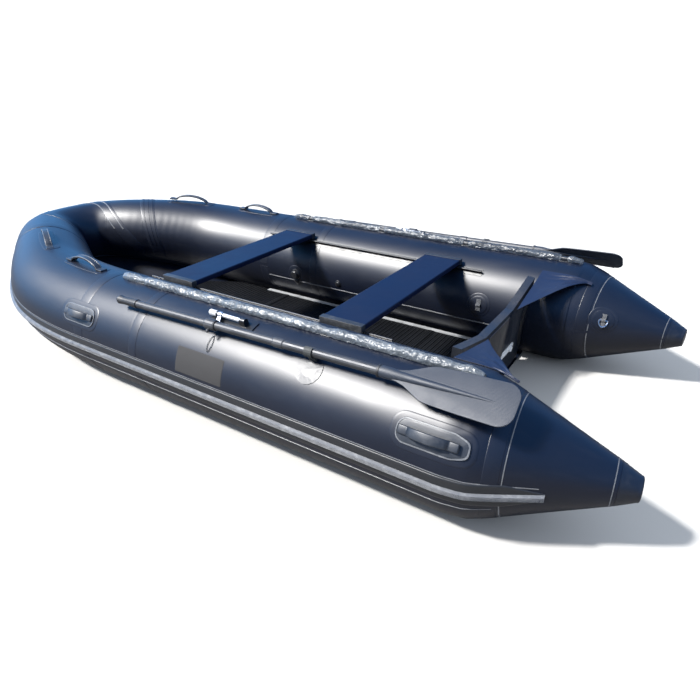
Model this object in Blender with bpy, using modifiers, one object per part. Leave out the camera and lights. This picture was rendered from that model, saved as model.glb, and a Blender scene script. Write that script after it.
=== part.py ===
"""Inflatable boat with a slatted metal floor, two sliding benches and two stowed oars.

+X points to the bow, +Y to port and +Z up. The origin is at the middle of the boat's length
and beam, at the height of the ground that the tubes lie on. Lengths are in metres, angles in
degrees. Each side tube is a straight run with a cone behind it, and the bow tube closes the
front. Places along the straight run are shares of that run.
"""
import math

import bmesh
import bpy
import numpy as np
from mathutils import Matrix, Vector

# Hull
LENGTH = 3.964
TUBE_RADIUS = 0.2555
TUBE_SPACING = 1.302
CONE_LENGTH = 0.484
SIDE_RUN = 1.885
CONE_TOE_IN = 0.0476
CONE_TIP_RADIUS = 0.0427
BOW_RADIUS = 0.185
BOW_RISE = 0.0977
CAP_LENGTH = 0.066
CAP_EDGE = 0.008
GAP = 0.0003
EMBED = 0.004
TUBE_ROUND = 12
CONE_SHARES = (0.3, 0.6, 0.85, 0.97, 1.05)
CONE_FULL_SHARES = (0.3, 0.6, 0.852, 0.955, 1.0)
BOW_X_SHARES = (0.0, 0.3272, 0.5302, 0.8081, 1.0)
BOW_Y_SHARES = (1.0, 1.0, 0.8601, 0.4785, 0.2916)
BOW_Z_SHARES = (0.0, 0.0, 0.5814, 1.0, 1.0)
BOW_TAPER_SHARES = (0.0, 0.0, 0.3, 0.7, 1.0)
BOW_STATIONS = 23
BOW_LEAD = 0.02
# Rubbing strake round the outside of the tubes
STRAKE_ANGLE = -4.0
STRAKE_BAND_HALF = 0.044
STRAKE_BAND_THICK = 0.0035
STRAKE_BEAD_HALF = 0.012
STRAKE_BEAD_HEIGHT = 0.0145
STRAKE_LIFT = 0.0008
STRAKE_START_SHARE = 0.52
# Bottom skin and inflatable keel
SKIN_THICK = 0.004
SKIN_CLEAR = 0.002
SKIN_ANGLE = -110.0
SKIN_LOW = 0.001
SKIN_LIFT_SHARE = 1.31
SKIN_FILL_POWER = 1.6
KEEL_HALF_WIDTH = 0.08
KEEL_HALF_HEIGHT = 0.022
KEEL_CLEAR = 0.003
KEEL_SPAN_SHARES = (0.157, 0.21, 0.3, 0.8, 1.05, 1.22, 1.32)
KEEL_FULL_SHARES = (0.3, 0.75, 1.0, 1.0, 0.9, 0.6, 0.25)
# Floor boards, joiners and stringers
FLOOR_TOP = 0.080
BOARD_THICK = 0.016
BOARD_SIDE_GAP = 0.0403
RIB_HEIGHT = 0.002
RIB_PITCH = 0.0235
RIB_FILL_SHARE = 0.55
BOARD_JOINT = 0.010
BOARD_SHARES = (0.0, 0.369, 0.645, 0.910)
BOW_BOARD_LENGTH = 0.86
BOW_BOARD_TIP_HALF = 0.20
JOINER_WALL = 0.003
JOINER_FLANGE = 0.030
STRINGER_WALL = 0.003
STRINGER_LIP = 0.022
STRINGER_CLEAR = 0.001
# Transom
TRANSOM_SHARE = 0.1066
TRANSOM_THICK = 0.035
TRANSOM_BOTTOM = 0.018
TRANSOM_BILGE = 0.036
TRANSOM_DROP = 0.036
TRANSOM_CUT_DEPTH = 0.070
TRANSOM_CUT_HALF = 0.165
TRANSOM_SHOULDER_INSET = 0.069
TRANSOM_TUBE_CLEAR = 0.006
TRANSOM_RAKE = 5.0
PLATE_THICK = 0.005
PLATE_HALF_WIDTH = 0.125
PLATE_HEIGHT = 0.20
PLATE_DROP = 0.018
PLATE_EDGE = 0.0015
HOLDER_HALF = 0.030
HOLDER_THICK = 0.008
HOLDER_TUBE_CLEAR = 0.0014
HOLDER_LOW = 0.11
HOLDER_DROP = 0.075
# Stern gussets
GUSSET_THICK = 0.003
GUSSET_LENGTH = 0.235
GUSSET_TOP_INSET = 0.012
GUSSET_ANGLE = 118.0
GUSSET_END_SHARE = 0.06
# Drain
DRAIN_Y = -0.245
DRAIN_Z = 0.172
DRAIN_PLATE_LENGTH = 0.165
DRAIN_PLATE_HALF = 0.018
DRAIN_BORE = 0.0115
DRAIN_FLANGE = 0.004
DRAIN_PLAY = 0.0006
DRAIN_PLUG_LENGTH = 0.030
DRAIN_KNOB_RADIUS = 0.0155
DRAIN_KNOB_LENGTH = 0.010
# Benches and the tracks that they slide on
BENCH_END_CLEAR = 0.0065
BENCH_WIDTH = 0.20
BENCH_THICK = 0.026
BENCH_RISE = 0.0382
BENCH_EDGE = 0.005
BENCH_SHARES = (0.3613, 0.8658)
TRACK_ANGLE = 135.0
TRACK_BEAD_RADIUS = 0.0055
TRACK_RISE = 0.0150
TRACK_WEB = 0.0030
TRACK_FLANGE = 0.040
TRACK_FLANGE_THICK = 0.002
TRACK_START_SHARE = 0.243
TRACK_END_SHARE = 0.985
FOOT_LENGTH = 0.165
FOOT_WALL = 0.0045
FOOT_PLAY = 0.0012
FOOT_MOUTH_PLAY = 0.0016
# Oars and rowlocks
ROWLOCK_SHARE = 0.563
OAR_ANGLE = 57.2
OAR_HEIGHT = 0.045
OAR_SKEW = 1.45
STARBOARD_OAR_DROP = 12.0
SHAFT_RADIUS = 0.0165
SHAFT_WALL_SLEEVE = 0.0025
SLEEVE_LENGTH = 0.05
SLEEVE_FROM_PIVOT = 0.335
SHAFT_FORWARD = 0.43
SHAFT_AFT = 0.795
GRIP_LENGTH = 0.125
GRIP_RADIUS = 0.0195
GRIP_WAIST = 0.0165
BLADE_LENGTH = 0.40
BLADE_HALF_WIDTH = 0.0735
BLADE_THICK = 0.005
BLADE_SOCKET_RADIUS = 0.0205
BLADE_SOCKET_LENGTH = 0.055
BLADE_SPINE_LENGTH = 0.335
BLADE_X_SHARES = (0.0, 0.10, 0.30, 0.955, 1.0)
BLADE_Y_SHARES = (0.31, 0.36, 0.86, 1.0, 0.72)
COLLAR_RADIUS = 0.0225
COLLAR_LENGTH = 0.052
COLLAR_BOSS_RADIUS = 0.013
COLLAR_KNOB_RADIUS = 0.008
PIN_ANGLE = 71.0
PIN_HEIGHT = 0.021
PIN_RADIUS = 0.0065
PIN_SLEEVE_RADIUS = 0.0085
PIN_CAP_RADIUS = 0.0125
PIN_CAP_LENGTH = 0.040
PIN_AFT = 0.112
EYE_RADIUS = 0.0125
EYE_WIDTH = 0.018
EYE_AHEAD = 0.018
EYE_PLAY = 0.0005
ARM_THICK = 0.006
ARM_HALF_WIDTH = 0.012
ARM_LEVEL = 0.012
STUD_RADIUS = 0.006
STUD_HEIGHT = 0.008
STUD_PLAY = 0.0006
BASE_PAD_THICK = 0.004
BASE_PAD_LENGTH = 0.23
BASE_PAD_HALF_ANGLE = 12.0
HOUSING_RADIUS = 0.0125
HOUSING_WIDTH = 0.026
FRONT_EAR_WIDTH = 0.012
# Oar clips
CLIP_SHARE = 0.3135
CLIP_WIDTH = 0.032
CLIP_WALL = 0.004
CLIP_PLAY = 0.0012
CLIP_MOUTH_HALF = 42.0
CLIP_MOUTH_CENTRE = 150.0
CLIP_PATCH_RADIUS = 0.055
CLIP_PATCH_ANGLE = 49.5
CLIP_PATCH_THICK = 0.002
# Grab lines on the tube tops, their rubber holders and the clear film covers
HOLDER_SHARES = (0.0562, 0.332, 0.6106, 0.8865)
HOLDER_TOP_ANGLE = 90.0
LINE_RADIUS = 0.0045
LINE_BORE_PLAY = 0.0008
LINE_LEVEL = 0.0105
LINE_SAG = 0.0015
LINE_END = 0.045
LINE_SPAN_SHARES = (0.12, 0.5, 0.88)
GRIP_PAD_LENGTH = 0.07
GRIP_PAD_HALF = 0.021
GRIP_PAD_THICK = 0.003
GRIP_HUMP_RADIUS = 0.0105
GRIP_HUMP_LENGTH = 0.04
# Handles
BOW_HANDLE_TURN_SHARES = (0.0285, 0.155)
BOW_HANDLE_CLEAR = 0.003
BOW_FINE_STEPS = 101
BOW_HANDLE_LENGTH = 0.31
BOW_HANDLE_WIDTH = 0.036
BOW_HANDLE_HEIGHT = 0.042
BOW_HANDLE_BAR = 0.008
BOW_HANDLE_FOOT = 0.065
SIDE_HANDLE_SHARES = (0.052, 1.028)
SIDE_HANDLE_ANGLE = 30.0
SIDE_HANDLE_LENGTH = 0.225
SIDE_HANDLE_HEIGHT = 0.036
SIDE_HANDLE_BAR = 0.010
SIDE_PAD_THICK = 0.004
SIDE_PAD_HALF = 0.052
# Valves on the inner sides
VALVE_ANGLE = 184.0
VALVE_SHARES = (0.8615, 0.8615)
VALVE_BOW_SHARE = 0.03
VALVE_RADIUS = 0.034
VALVE_BODY_HEIGHT = 0.008
VALVE_BORE = 0.018
VALVE_BORE_DEPTH = 0.004
VALVE_CAP_RADIUS = 0.024
VALVE_CAP_HEIGHT = 0.012
VALVE_PLUG_RADIUS = 0.0165
VALVE_PLUG_LENGTH = 0.003
# Rings and patches
RING_RADIUS = 0.021
RING_WIRE = 0.0032
RING_PLAY = 0.0008
PATCH_RADIUS = 0.048
PATCH_THICK = 0.003
LOOP_WIDTH = 0.024
LOOP_WALL = 0.0022
BOW_RING_ANGLE = -48.0
STERN_RING_SHARE = 0.66
STERN_RING_ANGLE = 160.0

HALF_SPACING = TUBE_SPACING / 2
AXIS_Z = TUBE_RADIUS
CONE_SKEW = math.atan2(CONE_TOE_IN, CONE_LENGTH)
STERN_X = -LENGTH / 2 + CONE_TIP_RADIUS * math.sin(CONE_SKEW)
RUN_START = STERN_X + CONE_LENGTH
RUN_END = RUN_START + SIDE_RUN
BOW_AXIS_X = LENGTH / 2 - BOW_RADIUS - STRAKE_LIFT - STRAKE_BEAD_HEIGHT
FULL_TURN = 360.0
SEGMENTS = 16
UP = Vector((0, 0, 1))


def tube_inner_y(z, clear):
    """Half width between the side tubes at a height, less a clearance."""
    drop = AXIS_Z - z
    return HALF_SPACING - math.sqrt(max(0.0, (TUBE_RADIUS + clear) ** 2 - drop ** 2))


# Sizes that follow from the tubes and their named clearances
BOARD_HALF_WIDTH = tube_inner_y(FLOOR_TOP, 0.0) - BOARD_SIDE_GAP
TRANSOM_TOP = 2 * TUBE_RADIUS - TRANSOM_DROP
TRANSOM_CUT_HEIGHT = TRANSOM_TOP - TRANSOM_CUT_DEPTH
TRANSOM_SHOULDER_HALF = tube_inner_y(TRANSOM_TOP, TRANSOM_TUBE_CLEAR) - TRANSOM_SHOULDER_INSET
HOLDER_HIGH = TRANSOM_TOP - HOLDER_DROP
BENCH_TOP = AXIS_Z + math.sin(math.radians(TRACK_ANGLE)) * (TUBE_RADIUS + TRACK_RISE) + BENCH_RISE
BENCH_LENGTH = 2 * (tube_inner_y(BENCH_TOP - BENCH_THICK, 0.0) - BENCH_END_CLEAR)
LEAN = math.tan(math.radians(TRANSOM_RAKE))


def run_x(share):
    """World X of a share of the straight run."""
    return RUN_START + share * SIDE_RUN


def clear_scene():
    """Remove every object and collection of the open file."""
    for obj in list(bpy.data.objects):
        bpy.data.objects.remove(obj, do_unlink=True)
    for coll in list(bpy.data.collections):
        bpy.data.collections.remove(coll)


clear_scene()
BOAT = bpy.data.collections.new("inflatable_boat")
CUTTERS = bpy.data.collections.new("cutters")
bpy.context.scene.collection.children.link(BOAT)
bpy.context.scene.collection.children.link(CUTTERS)


def material(name, colour, roughness, metallic=0.0, alpha=1.0):
    """A Principled material with the given colour, roughness and metal value."""
    mat = bpy.data.materials.new(name)
    mat.use_nodes = True
    shader = mat.node_tree.nodes["Principled BSDF"]
    shader.inputs["Base Color"].default_value = (*colour, 1.0)
    shader.inputs["Roughness"].default_value = roughness
    shader.inputs["Metallic"].default_value = metallic
    shader.inputs["Alpha"].default_value = alpha
    return mat


FABRIC = (0.018, 0.024, 0.045)
RUBBER = (0.010, 0.011, 0.013)
BOARD_METAL = (0.16, 0.17, 0.18)
STEEL = (0.62, 0.63, 0.64)
BENCH_BLUE = (0.03, 0.06, 0.13)


def put(obj, mat, coll=None):
    """Link an object with its own copy of a material into a collection."""
    own = mat.copy()
    own.name = obj.name
    obj.data.materials.clear()
    obj.data.materials.append(own)
    (coll or BOAT).objects.link(obj)
    return obj


def mesh_object(name, bm, mat, coll=None):
    """Object from a bmesh, with its normals pointing out."""
    bmesh.ops.recalc_face_normals(bm, faces=bm.faces)
    mesh = bpy.data.meshes.new(name)
    bm.to_mesh(mesh)
    bm.free()
    return put(bpy.data.objects.new(name, mesh), mat, coll)


def baked(obj):
    """Mesh copy of an object as the viewport shows it, in world space."""
    bpy.context.view_layer.update()
    graph = bpy.context.evaluated_depsgraph_get()
    evaluated = obj.evaluated_get(graph)
    mesh = bpy.data.meshes.new_from_object(evaluated, depsgraph=graph)
    mesh.transform(obj.matrix_world)
    return mesh


def to_mesh(obj, mat):
    """Replace a curve or a modified object by a plain welded mesh of the same name."""
    name = obj.name
    mesh = baked(obj)
    bm = bmesh.new()
    bm.from_mesh(mesh)
    bmesh.ops.remove_doubles(bm, verts=bm.verts, dist=GAP / 100)
    bpy.data.meshes.remove(mesh)
    coll = obj.users_collection[0]
    bpy.data.objects.remove(obj, do_unlink=True)
    return mesh_object(name, bm, mat, coll)


def cut(target, tool, operation="DIFFERENCE"):
    """Boolean of the target with a cutter that is kept in the cutters' collection."""
    if tool.name not in CUTTERS.objects:
        for coll in list(tool.users_collection):
            coll.objects.unlink(tool)
        CUTTERS.objects.link(tool)
    tool.hide_render = True
    tool.display_type = "WIRE"
    mod = target.modifiers.new("cut", "BOOLEAN")
    mod.operation = operation
    mod.solver = "EXACT"
    mod.object = tool
    return target


def bevel(obj, width, segments=2, angle=40.0):
    """Rounded edges where faces meet sharply."""
    mod = obj.modifiers.new("edges", "BEVEL")
    mod.width = width
    mod.segments = segments
    mod.limit_method = "ANGLE"
    mod.angle_limit = math.radians(angle)
    return obj


def box(name, size, centre, mat, coll=None):
    """Box of a given size about a centre."""
    bm = bmesh.new()
    bmesh.ops.create_cube(bm, size=1.0)
    bmesh.ops.scale(bm, vec=size, verts=bm.verts)
    bmesh.ops.translate(bm, vec=centre, verts=bm.verts)
    return mesh_object(name, bm, mat, coll)


def sweep(name, points, radii, mat, resolution=2, coll=None):
    """Round tube through points, each with its own radius, with closed ends."""
    data = bpy.data.curves.new(name, "CURVE")
    data.dimensions = "3D"
    data.twist_mode = "Z_UP"
    data.bevel_depth = max(radii)
    data.bevel_resolution = resolution
    data.use_fill_caps = True
    spline = data.splines.new("POLY")
    spline.points.add(len(points) - 1)
    for knot, place, radius in zip(spline.points, points, radii):
        knot.co = (*place, 1.0)
        knot.radius = radius / max(radii)
    return put(bpy.data.objects.new(name, data), mat, coll)


def plate(name, outline, thick, mat, matrix=None, coll=None):
    """Flat outline in its own XY plane, with a thickness centred on that plane."""
    data = bpy.data.curves.new(name, "CURVE")
    data.dimensions = "2D"
    data.fill_mode = "BOTH"
    data.extrude = thick / 2
    spline = data.splines.new("POLY")
    spline.points.add(len(outline) - 1)
    spline.use_cyclic_u = True
    for knot, (u, v) in zip(spline.points, outline):
        knot.co = (u, v, 0.0, 1.0)
    obj = put(bpy.data.objects.new(name, data), mat, coll)
    obj.matrix_world = matrix or Matrix()
    return to_mesh(obj, mat)


def turned(name, profile, mat, matrix=None, steps=SEGMENTS, coll=None):
    """Solid turned about its Z axis from a profile of (radius, height) pairs, top to bottom."""
    mesh = bpy.data.meshes.new(name)
    points = [(radius, 0.0, height) for radius, height in profile]
    mesh.from_pydata(points, [(i, i + 1) for i in range(len(points) - 1)], [])
    obj = put(bpy.data.objects.new(name, mesh), mat, coll)
    obj.matrix_world = matrix or Matrix()
    mod = obj.modifiers.new("turn", "SCREW")
    mod.steps = steps
    mod.render_steps = steps
    mod.use_merge_vertices = True
    mod.merge_threshold = 0.0001
    mod.use_normal_calculate = True
    return to_mesh(obj, mat)


def loft(name, rings, mat, coll=None):
    """Closed solid through rings that have the same number of points."""
    bm = bmesh.new()
    rows = [[bm.verts.new(p) for p in ring] for ring in rings]
    count = len(rows[0])
    for a, b in zip(rows, rows[1:]):
        for i in range(count):
            j = (i + 1) % count
            bm.faces.new((a[i], a[j], b[j], b[i]))
    bm.faces.new(rows[0])
    bm.faces.new(rows[-1])
    bmesh.ops.triangulate(bm, faces=[f for f in bm.faces if len(f.verts) > 4])
    return mesh_object(name, bm, mat, coll)


def united(name, pieces, mat):
    """One closed body from overlapping pieces, by Boolean union."""
    first = pieces[0]
    for other in pieces[1:]:
        cut(first, other, "UNION")
    first.name = name
    solid = to_mesh(first, mat)
    for other in pieces[1:]:
        bpy.data.objects.remove(other, do_unlink=True)
    return solid


def mirrored(obj, name, mat):
    """Starboard copy of a port piece."""
    mesh = baked(obj)
    bm = bmesh.new()
    bm.from_mesh(mesh)
    bpy.data.meshes.remove(mesh)
    bmesh.ops.scale(bm, vec=(1, -1, 1), verts=bm.verts)
    return mesh_object(name, bm, mat)


def hang(obj, pivot):
    """Give a piece's mesh a parent empty on its joint axis without moving the piece."""
    bpy.context.view_layer.update()
    shift = Matrix.Translation(-pivot.location)
    obj.data.transform(shift @ obj.matrix_world)
    obj.matrix_world = Matrix()
    obj.parent = pivot
    return obj


def pivot(name, place):
    """Empty that marks a joint."""
    empty = bpy.data.objects.new(name, None)
    empty.location = place
    BOAT.objects.link(empty)
    return empty


def seat(angle, height, x, side=1.0):
    """Frame on a side tube: local X forward, Y down the outer side, Z out of the surface."""
    a = math.radians(angle)
    normal = Vector((0, math.cos(a), math.sin(a)))
    tangent = Vector((0, math.sin(a), -math.cos(a)))
    centre = Vector((x, HALF_SPACING, AXIS_Z)) + normal * (TUBE_RADIUS + height)
    rows = Matrix((Vector((1, 0, 0)), tangent, normal)).transposed().to_4x4()
    rows.translation = centre
    if side < 0:
        return Matrix.Diagonal((1, -1, 1, 1)) @ rows
    return rows


def wrapped_patch(name, x0, x1, low, high, lift, thick, mat, steps=6, runs=1):
    """Thin solid that lies on a side tube between two angles."""
    rings = []
    for i in range(runs + 1):
        x = x0 + (x1 - x0) * i / runs
        ring = []
        for k in range(steps + 1):
            a = math.radians(low + (high - low) * k / steps)
            r = TUBE_RADIUS + lift
            ring.append((x, HALF_SPACING + r * math.cos(a), AXIS_Z + r * math.sin(a)))
        for k in range(steps, -1, -1):
            a = math.radians(low + (high - low) * k / steps)
            r = TUBE_RADIUS + lift + thick
            ring.append((x, HALF_SPACING + r * math.cos(a), AXIS_Z + r * math.sin(a)))
        rings.append(ring)
    return loft(name, rings, mat)


def round_patch(name, matrix, radius, thick, bend, mat, rings=2, steps=16):
    """Round patch that is bent over a tube of the given radius along its local Y."""
    bm = bmesh.new()
    layers = []
    for level in (0.0, thick):
        rows = [[bm.verts.new(bent(0.0, 0.0, level, bend, matrix))]]
        for k in range(1, rings + 1):
            row = []
            for s in range(steps):
                a = 2 * math.pi * s / steps
                r = radius * k / rings
                row.append(bm.verts.new(bent(r * math.cos(a), r * math.sin(a), level, bend,
                                             matrix)))
            rows.append(row)
        layers.append(rows)
    for rows in layers:
        for s in range(steps):
            t = (s + 1) % steps
            bm.faces.new((rows[0][0], rows[1][s], rows[1][t]))
            for k in range(1, rings):
                bm.faces.new((rows[k][s], rows[k + 1][s], rows[k + 1][t], rows[k][t]))
    low, high = layers[0][-1], layers[1][-1]
    for s in range(steps):
        t = (s + 1) % steps
        bm.faces.new((low[s], low[t], high[t], high[s]))
    return mesh_object(name, bm, mat)


def bent(u, v, level, bend, matrix):
    """Point of a flat patch laid round a tube whose axis runs along the patch's X."""
    angle = v / bend
    r = bend + level
    return matrix @ Vector((u, r * math.sin(angle), r * math.cos(angle) - bend))


def basis(count, t):
    """Weights of a clamped uniform cubic spline with this many control points."""
    degree = 3
    spans = count - degree
    knots = [0.0] * degree + [i / spans for i in range(spans + 1)] + [1.0] * degree
    weights = [0.0] * (len(knots) - 1)
    for i in range(len(weights)):
        inside = knots[i] <= t < knots[i + 1]
        last = t >= 1.0 and knots[i] < knots[i + 1] and knots[i + 1] >= 1.0
        weights[i] = 1.0 if inside or last else 0.0
    for d in range(1, degree + 1):
        for i in range(len(weights) - d):
            left = knots[i + d] - knots[i]
            right = knots[i + d + 1] - knots[i + 1]
            value = 0.0
            if left > 0:
                value += (t - knots[i]) / left * weights[i]
            if right > 0:
                value += (knots[i + d + 1] - t) / right * weights[i + 1]
            weights[i] = value
    return np.array(weights[:count])


def bow_points(count):
    """Axis points and radii of the bow tube, from port round to starboard."""
    xs = np.array(BOW_X_SHARES + BOW_X_SHARES[::-1])
    ys = np.array(BOW_Y_SHARES + tuple(-y for y in BOW_Y_SHARES[::-1]))
    zs = np.array(BOW_Z_SHARES + BOW_Z_SHARES[::-1])
    rs = np.array(BOW_TAPER_SHARES + BOW_TAPER_SHARES[::-1])
    full = basis(len(xs), 0.5) @ xs
    points, radii = [], []
    for i in range(count):
        w = basis(len(xs), i / (count - 1))
        x = RUN_END + (BOW_AXIS_X - RUN_END) * float(w @ xs) / float(full)
        y = HALF_SPACING * float(w @ ys)
        z = AXIS_Z + BOW_RISE * float(w @ zs)
        points.append(Vector((x, y, z)))
        radii.append(TUBE_RADIUS + (BOW_RADIUS - TUBE_RADIUS) * float(w @ rs))
    return points, radii


def cone_point(share):
    """Axis point of the port cone at a share of its length from the tip."""
    side = HALF_SPACING - CONE_TOE_IN * max(0.0, 1.0 - share)
    return Vector((STERN_X + CONE_LENGTH * share, side, AXIS_Z))


def cone_radius(full_share):
    """Cone radius at a share of the full growth from the tip."""
    return CONE_TIP_RADIUS + (TUBE_RADIUS - CONE_TIP_RADIUS) * full_share


def side_points():
    """Axis points and radii of the port tube, from its cap to the bow joint."""
    cap_share = CAP_LENGTH / CONE_LENGTH
    points = [cone_point(cap_share)]
    radii = [cone_radius(cap_share)]
    for share, full in zip(CONE_SHARES, CONE_FULL_SHARES):
        points.append(cone_point(share))
        radii.append(cone_radius(full))
    points.append(Vector((RUN_END - GAP, HALF_SPACING, AXIS_Z)))
    radii.append(TUBE_RADIUS)
    return points, radii


def directions(points):
    """Travel direction at each point of a path."""
    out = []
    for i in range(len(points)):
        step = Vector()
        if i > 0:
            step += (points[i] - points[i - 1]).normalized()
        if i < len(points) - 1:
            step += (points[i + 1] - points[i]).normalized()
        out.append(step.normalized())
    return out


def ring_frames(points):
    """Outward and upward directions of the section at each point of a port to bow path."""
    frames = []
    for along in directions(points):
        out = along.cross(UP).normalized() * -1
        rise = along.cross(out).normalized()
        if rise.z < 0:
            rise = -rise
        frames.append((out, rise))
    return frames


# Air chambers
SIDE_PATH, SIDE_RADII = side_points()
BOW_PATH, BOW_RADII = bow_points(BOW_STATIONS)
# A short straight lead keeps the bow tube's ends square to the side tubes
lead = Vector((BOW_LEAD, 0, 0))
BOW_PATH = [BOW_PATH[0], BOW_PATH[0] + lead] + BOW_PATH[1:-1] + [BOW_PATH[-1] + lead,
                                                                BOW_PATH[-1]]
BOW_RADII = [BOW_RADII[0]] * 2 + BOW_RADII[1:-1] + [BOW_RADII[-1]] * 2
fabric = material("fabric", FABRIC, 0.35)
port_tube = sweep("chamber_port", SIDE_PATH, SIDE_RADII, fabric, TUBE_ROUND)
port_tube = to_mesh(port_tube, fabric)
bow_tube = to_mesh(sweep("chamber_bow", BOW_PATH, BOW_RADII, fabric, TUBE_ROUND), fabric)

# Moulded end caps of the cones
cap_rubber = material("cap_rubber", RUBBER, 0.45)
cap_back = cone_radius(CAP_LENGTH / CONE_LENGTH)
cap_profile = [
    (0.0, CAP_LENGTH - GAP),
    (cap_back, CAP_LENGTH - GAP),
    (CONE_TIP_RADIUS, CAP_EDGE),
    (CONE_TIP_RADIUS - CAP_EDGE, 0.0),
    (0.0, 0.0),
]
cap_turn = Matrix.Rotation(CONE_SKEW, 4, "Z") @ Matrix.Rotation(math.radians(90), 4, "Y")
cap_place = Matrix.Translation(cone_point(0.0)) @ cap_turn
port_cap = turned("cone_cap_port", cap_profile, cap_rubber, cap_place, steps=28)
mirrored(port_cap, "cone_cap_starboard", cap_rubber)


def strake_profile():
    """Section of the strake as (distance along the surface, height) pairs."""
    half, bead = STRAKE_BAND_HALF, STRAKE_BEAD_HALF
    low, thick, top = STRAKE_LIFT, STRAKE_LIFT + STRAKE_BAND_THICK, STRAKE_LIFT + STRAKE_BEAD_HEIGHT
    shoulder_share = 0.62
    mid = thick + (top - thick) * shoulder_share
    return [
        (-half, low), (-half, thick), (-bead, thick), (-bead, mid), (-bead / 2, top),
        (bead / 2, top), (bead, mid), (bead, thick), (half, thick), (half, low),
        (half / 2, low), (0.0, low), (-half / 2, low),
    ]


def strake_rings():
    """Rings of the strake from the port cone round the bow to the starboard cone."""
    points = [cone_point(STRAKE_START_SHARE)]
    radii = [cone_radius(STRAKE_START_SHARE)]
    for p, r in zip(SIDE_PATH[:-1], SIDE_RADII[:-1]):
        if p.x > points[-1].x:
            points.append(p)
            radii.append(r)
    points += BOW_PATH
    radii += BOW_RADII
    back = [Vector((p.x, -p.y, p.z)) for p in points[:len(points) - len(BOW_PATH)]][::-1]
    radii += radii[:len(points) - len(BOW_PATH)][::-1]
    points += back
    rings = []
    for centre, radius, (out, rise) in zip(points, radii, ring_frames(points)):
        ring = []
        for along, height in strake_profile():
            angle = math.radians(STRAKE_ANGLE) + along / radius
            ring.append(centre + (out * math.cos(angle) + rise * math.sin(angle))
                        * (radius + height))
        rings.append(ring)
    return rings


strake_grey = material("strake_grey", (0.20, 0.21, 0.23), 0.5)
loft("rubbing_strake", strake_rings(), strake_grey)


def skin_rows():
    """Rows of points across the bottom skin, from the transom to the bow."""
    start = run_x(TRANSOM_SHARE) - TRANSOM_THICK / 2 + LEAN * (TRANSOM_TOP - TRANSOM_BOTTOM)
    runs = 4
    stations = [Vector((start + (RUN_END - start) * k / runs, HALF_SPACING, AXIS_Z))
                for k in range(runs)]
    radii = [TUBE_RADIUS] * runs
    half = len(BOW_PATH) // 2
    stations += BOW_PATH[:half]
    radii += BOW_RADII[:half]
    frames = ring_frames(stations + [BOW_PATH[half]])
    lift_x = run_x(SKIN_LIFT_SHARE)
    across_shares = (1.0, 0.75, 0.5, 0.25, 0.0)
    angle = math.radians(SKIN_ANGLE)
    rows = []
    for centre, radius, (out, rise) in zip(stations, radii, frames):
        reach = radius + SKIN_CLEAR + SKIN_THICK
        rail = centre + (out * math.cos(angle) + rise * math.sin(angle)) * reach
        ahead = max(0.0, centre.x - lift_x) / (BOW_AXIS_X - lift_x)
        low = SKIN_LOW + (rail.z - SKIN_LOW) * ahead ** 2
        row = []
        for share in across_shares + tuple(-s for s in across_shares[-2::-1]):
            depth = low + (rail.z - low) * abs(share) ** SKIN_FILL_POWER
            row.append(Vector((rail.x, rail.y * share, depth)))
        rows.append(row)
    return rows


def skin_object():
    """Bottom skin as an open surface with a thickness."""
    bm = bmesh.new()
    rows = [[bm.verts.new(p) for p in row] for row in skin_rows()]
    for a, b in zip(rows, rows[1:]):
        for i in range(len(a) - 1):
            bm.faces.new((a[i], b[i], b[i + 1], a[i + 1]))
    bmesh.ops.recalc_face_normals(bm, faces=bm.faces)
    if sum(f.normal.z for f in bm.faces) < 0:
        bmesh.ops.reverse_faces(bm, faces=bm.faces)
    mesh = bpy.data.meshes.new("bottom_skin")
    bm.to_mesh(mesh)
    bm.free()
    obj = put(bpy.data.objects.new("bottom_skin", mesh), fabric)
    mod = obj.modifiers.new("thickness", "SOLIDIFY")
    mod.thickness = SKIN_THICK
    mod.offset = 1.0
    return to_mesh(obj, fabric)


skin_object()

# Inflatable keel between the skin and the boards
keel_z = FLOOR_TOP - BOARD_THICK - JOINER_WALL - KEEL_CLEAR - KEEL_HALF_HEIGHT
keel_points = [Vector((run_x(s), 0.0, 0.0)) for s in KEEL_SPAN_SHARES]
keel_radii = [KEEL_HALF_WIDTH * s for s in KEEL_FULL_SHARES]
keel = sweep("keel_tube", keel_points, keel_radii, fabric, 6)
keel.scale = (1.0, 1.0, KEEL_HALF_HEIGHT / KEEL_HALF_WIDTH)
keel.location = (0.0, 0.0, keel_z)
to_mesh(keel, fabric)

# Floor boards with fine ribs across the boat
metal = material("board_metal", BOARD_METAL, 0.4, 0.8)
FLOOR_START = (run_x(TRANSOM_SHARE) + TRANSOM_THICK / 2 + BOARD_JOINT
               + LEAN * (TRANSOM_TOP - FLOOR_TOP + BOARD_THICK))


def ribbed_outline(length):
    """Side outline of a board: flat below, a row of ribs on top."""
    ribs = max(1, int(length / RIB_PITCH))
    pitch = length / ribs
    fill = pitch * RIB_FILL_SHARE
    base = FLOOR_TOP - BOARD_THICK
    crest = FLOOR_TOP
    root = FLOOR_TOP - RIB_HEIGHT
    points = [(0.0, base)]
    for k in range(ribs):
        left = k * pitch + (pitch - fill) / 2
        points += [(left, root), (left + RIB_HEIGHT / 2, crest)]
        points += [(left + fill - RIB_HEIGHT / 2, crest), (left + fill, root)]
    points.append((length, base))
    points.insert(1, (0.0, root))
    points.insert(len(points) - 1, (length, root))
    return points


def board(name, x0, length):
    """Board that starts at x0."""
    side_view = Matrix.Translation((x0, 0, 0)) @ Matrix.Rotation(math.radians(90), 4, "X")
    return plate(name, ribbed_outline(length), 2 * BOARD_HALF_WIDTH, metal, side_view)


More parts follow.
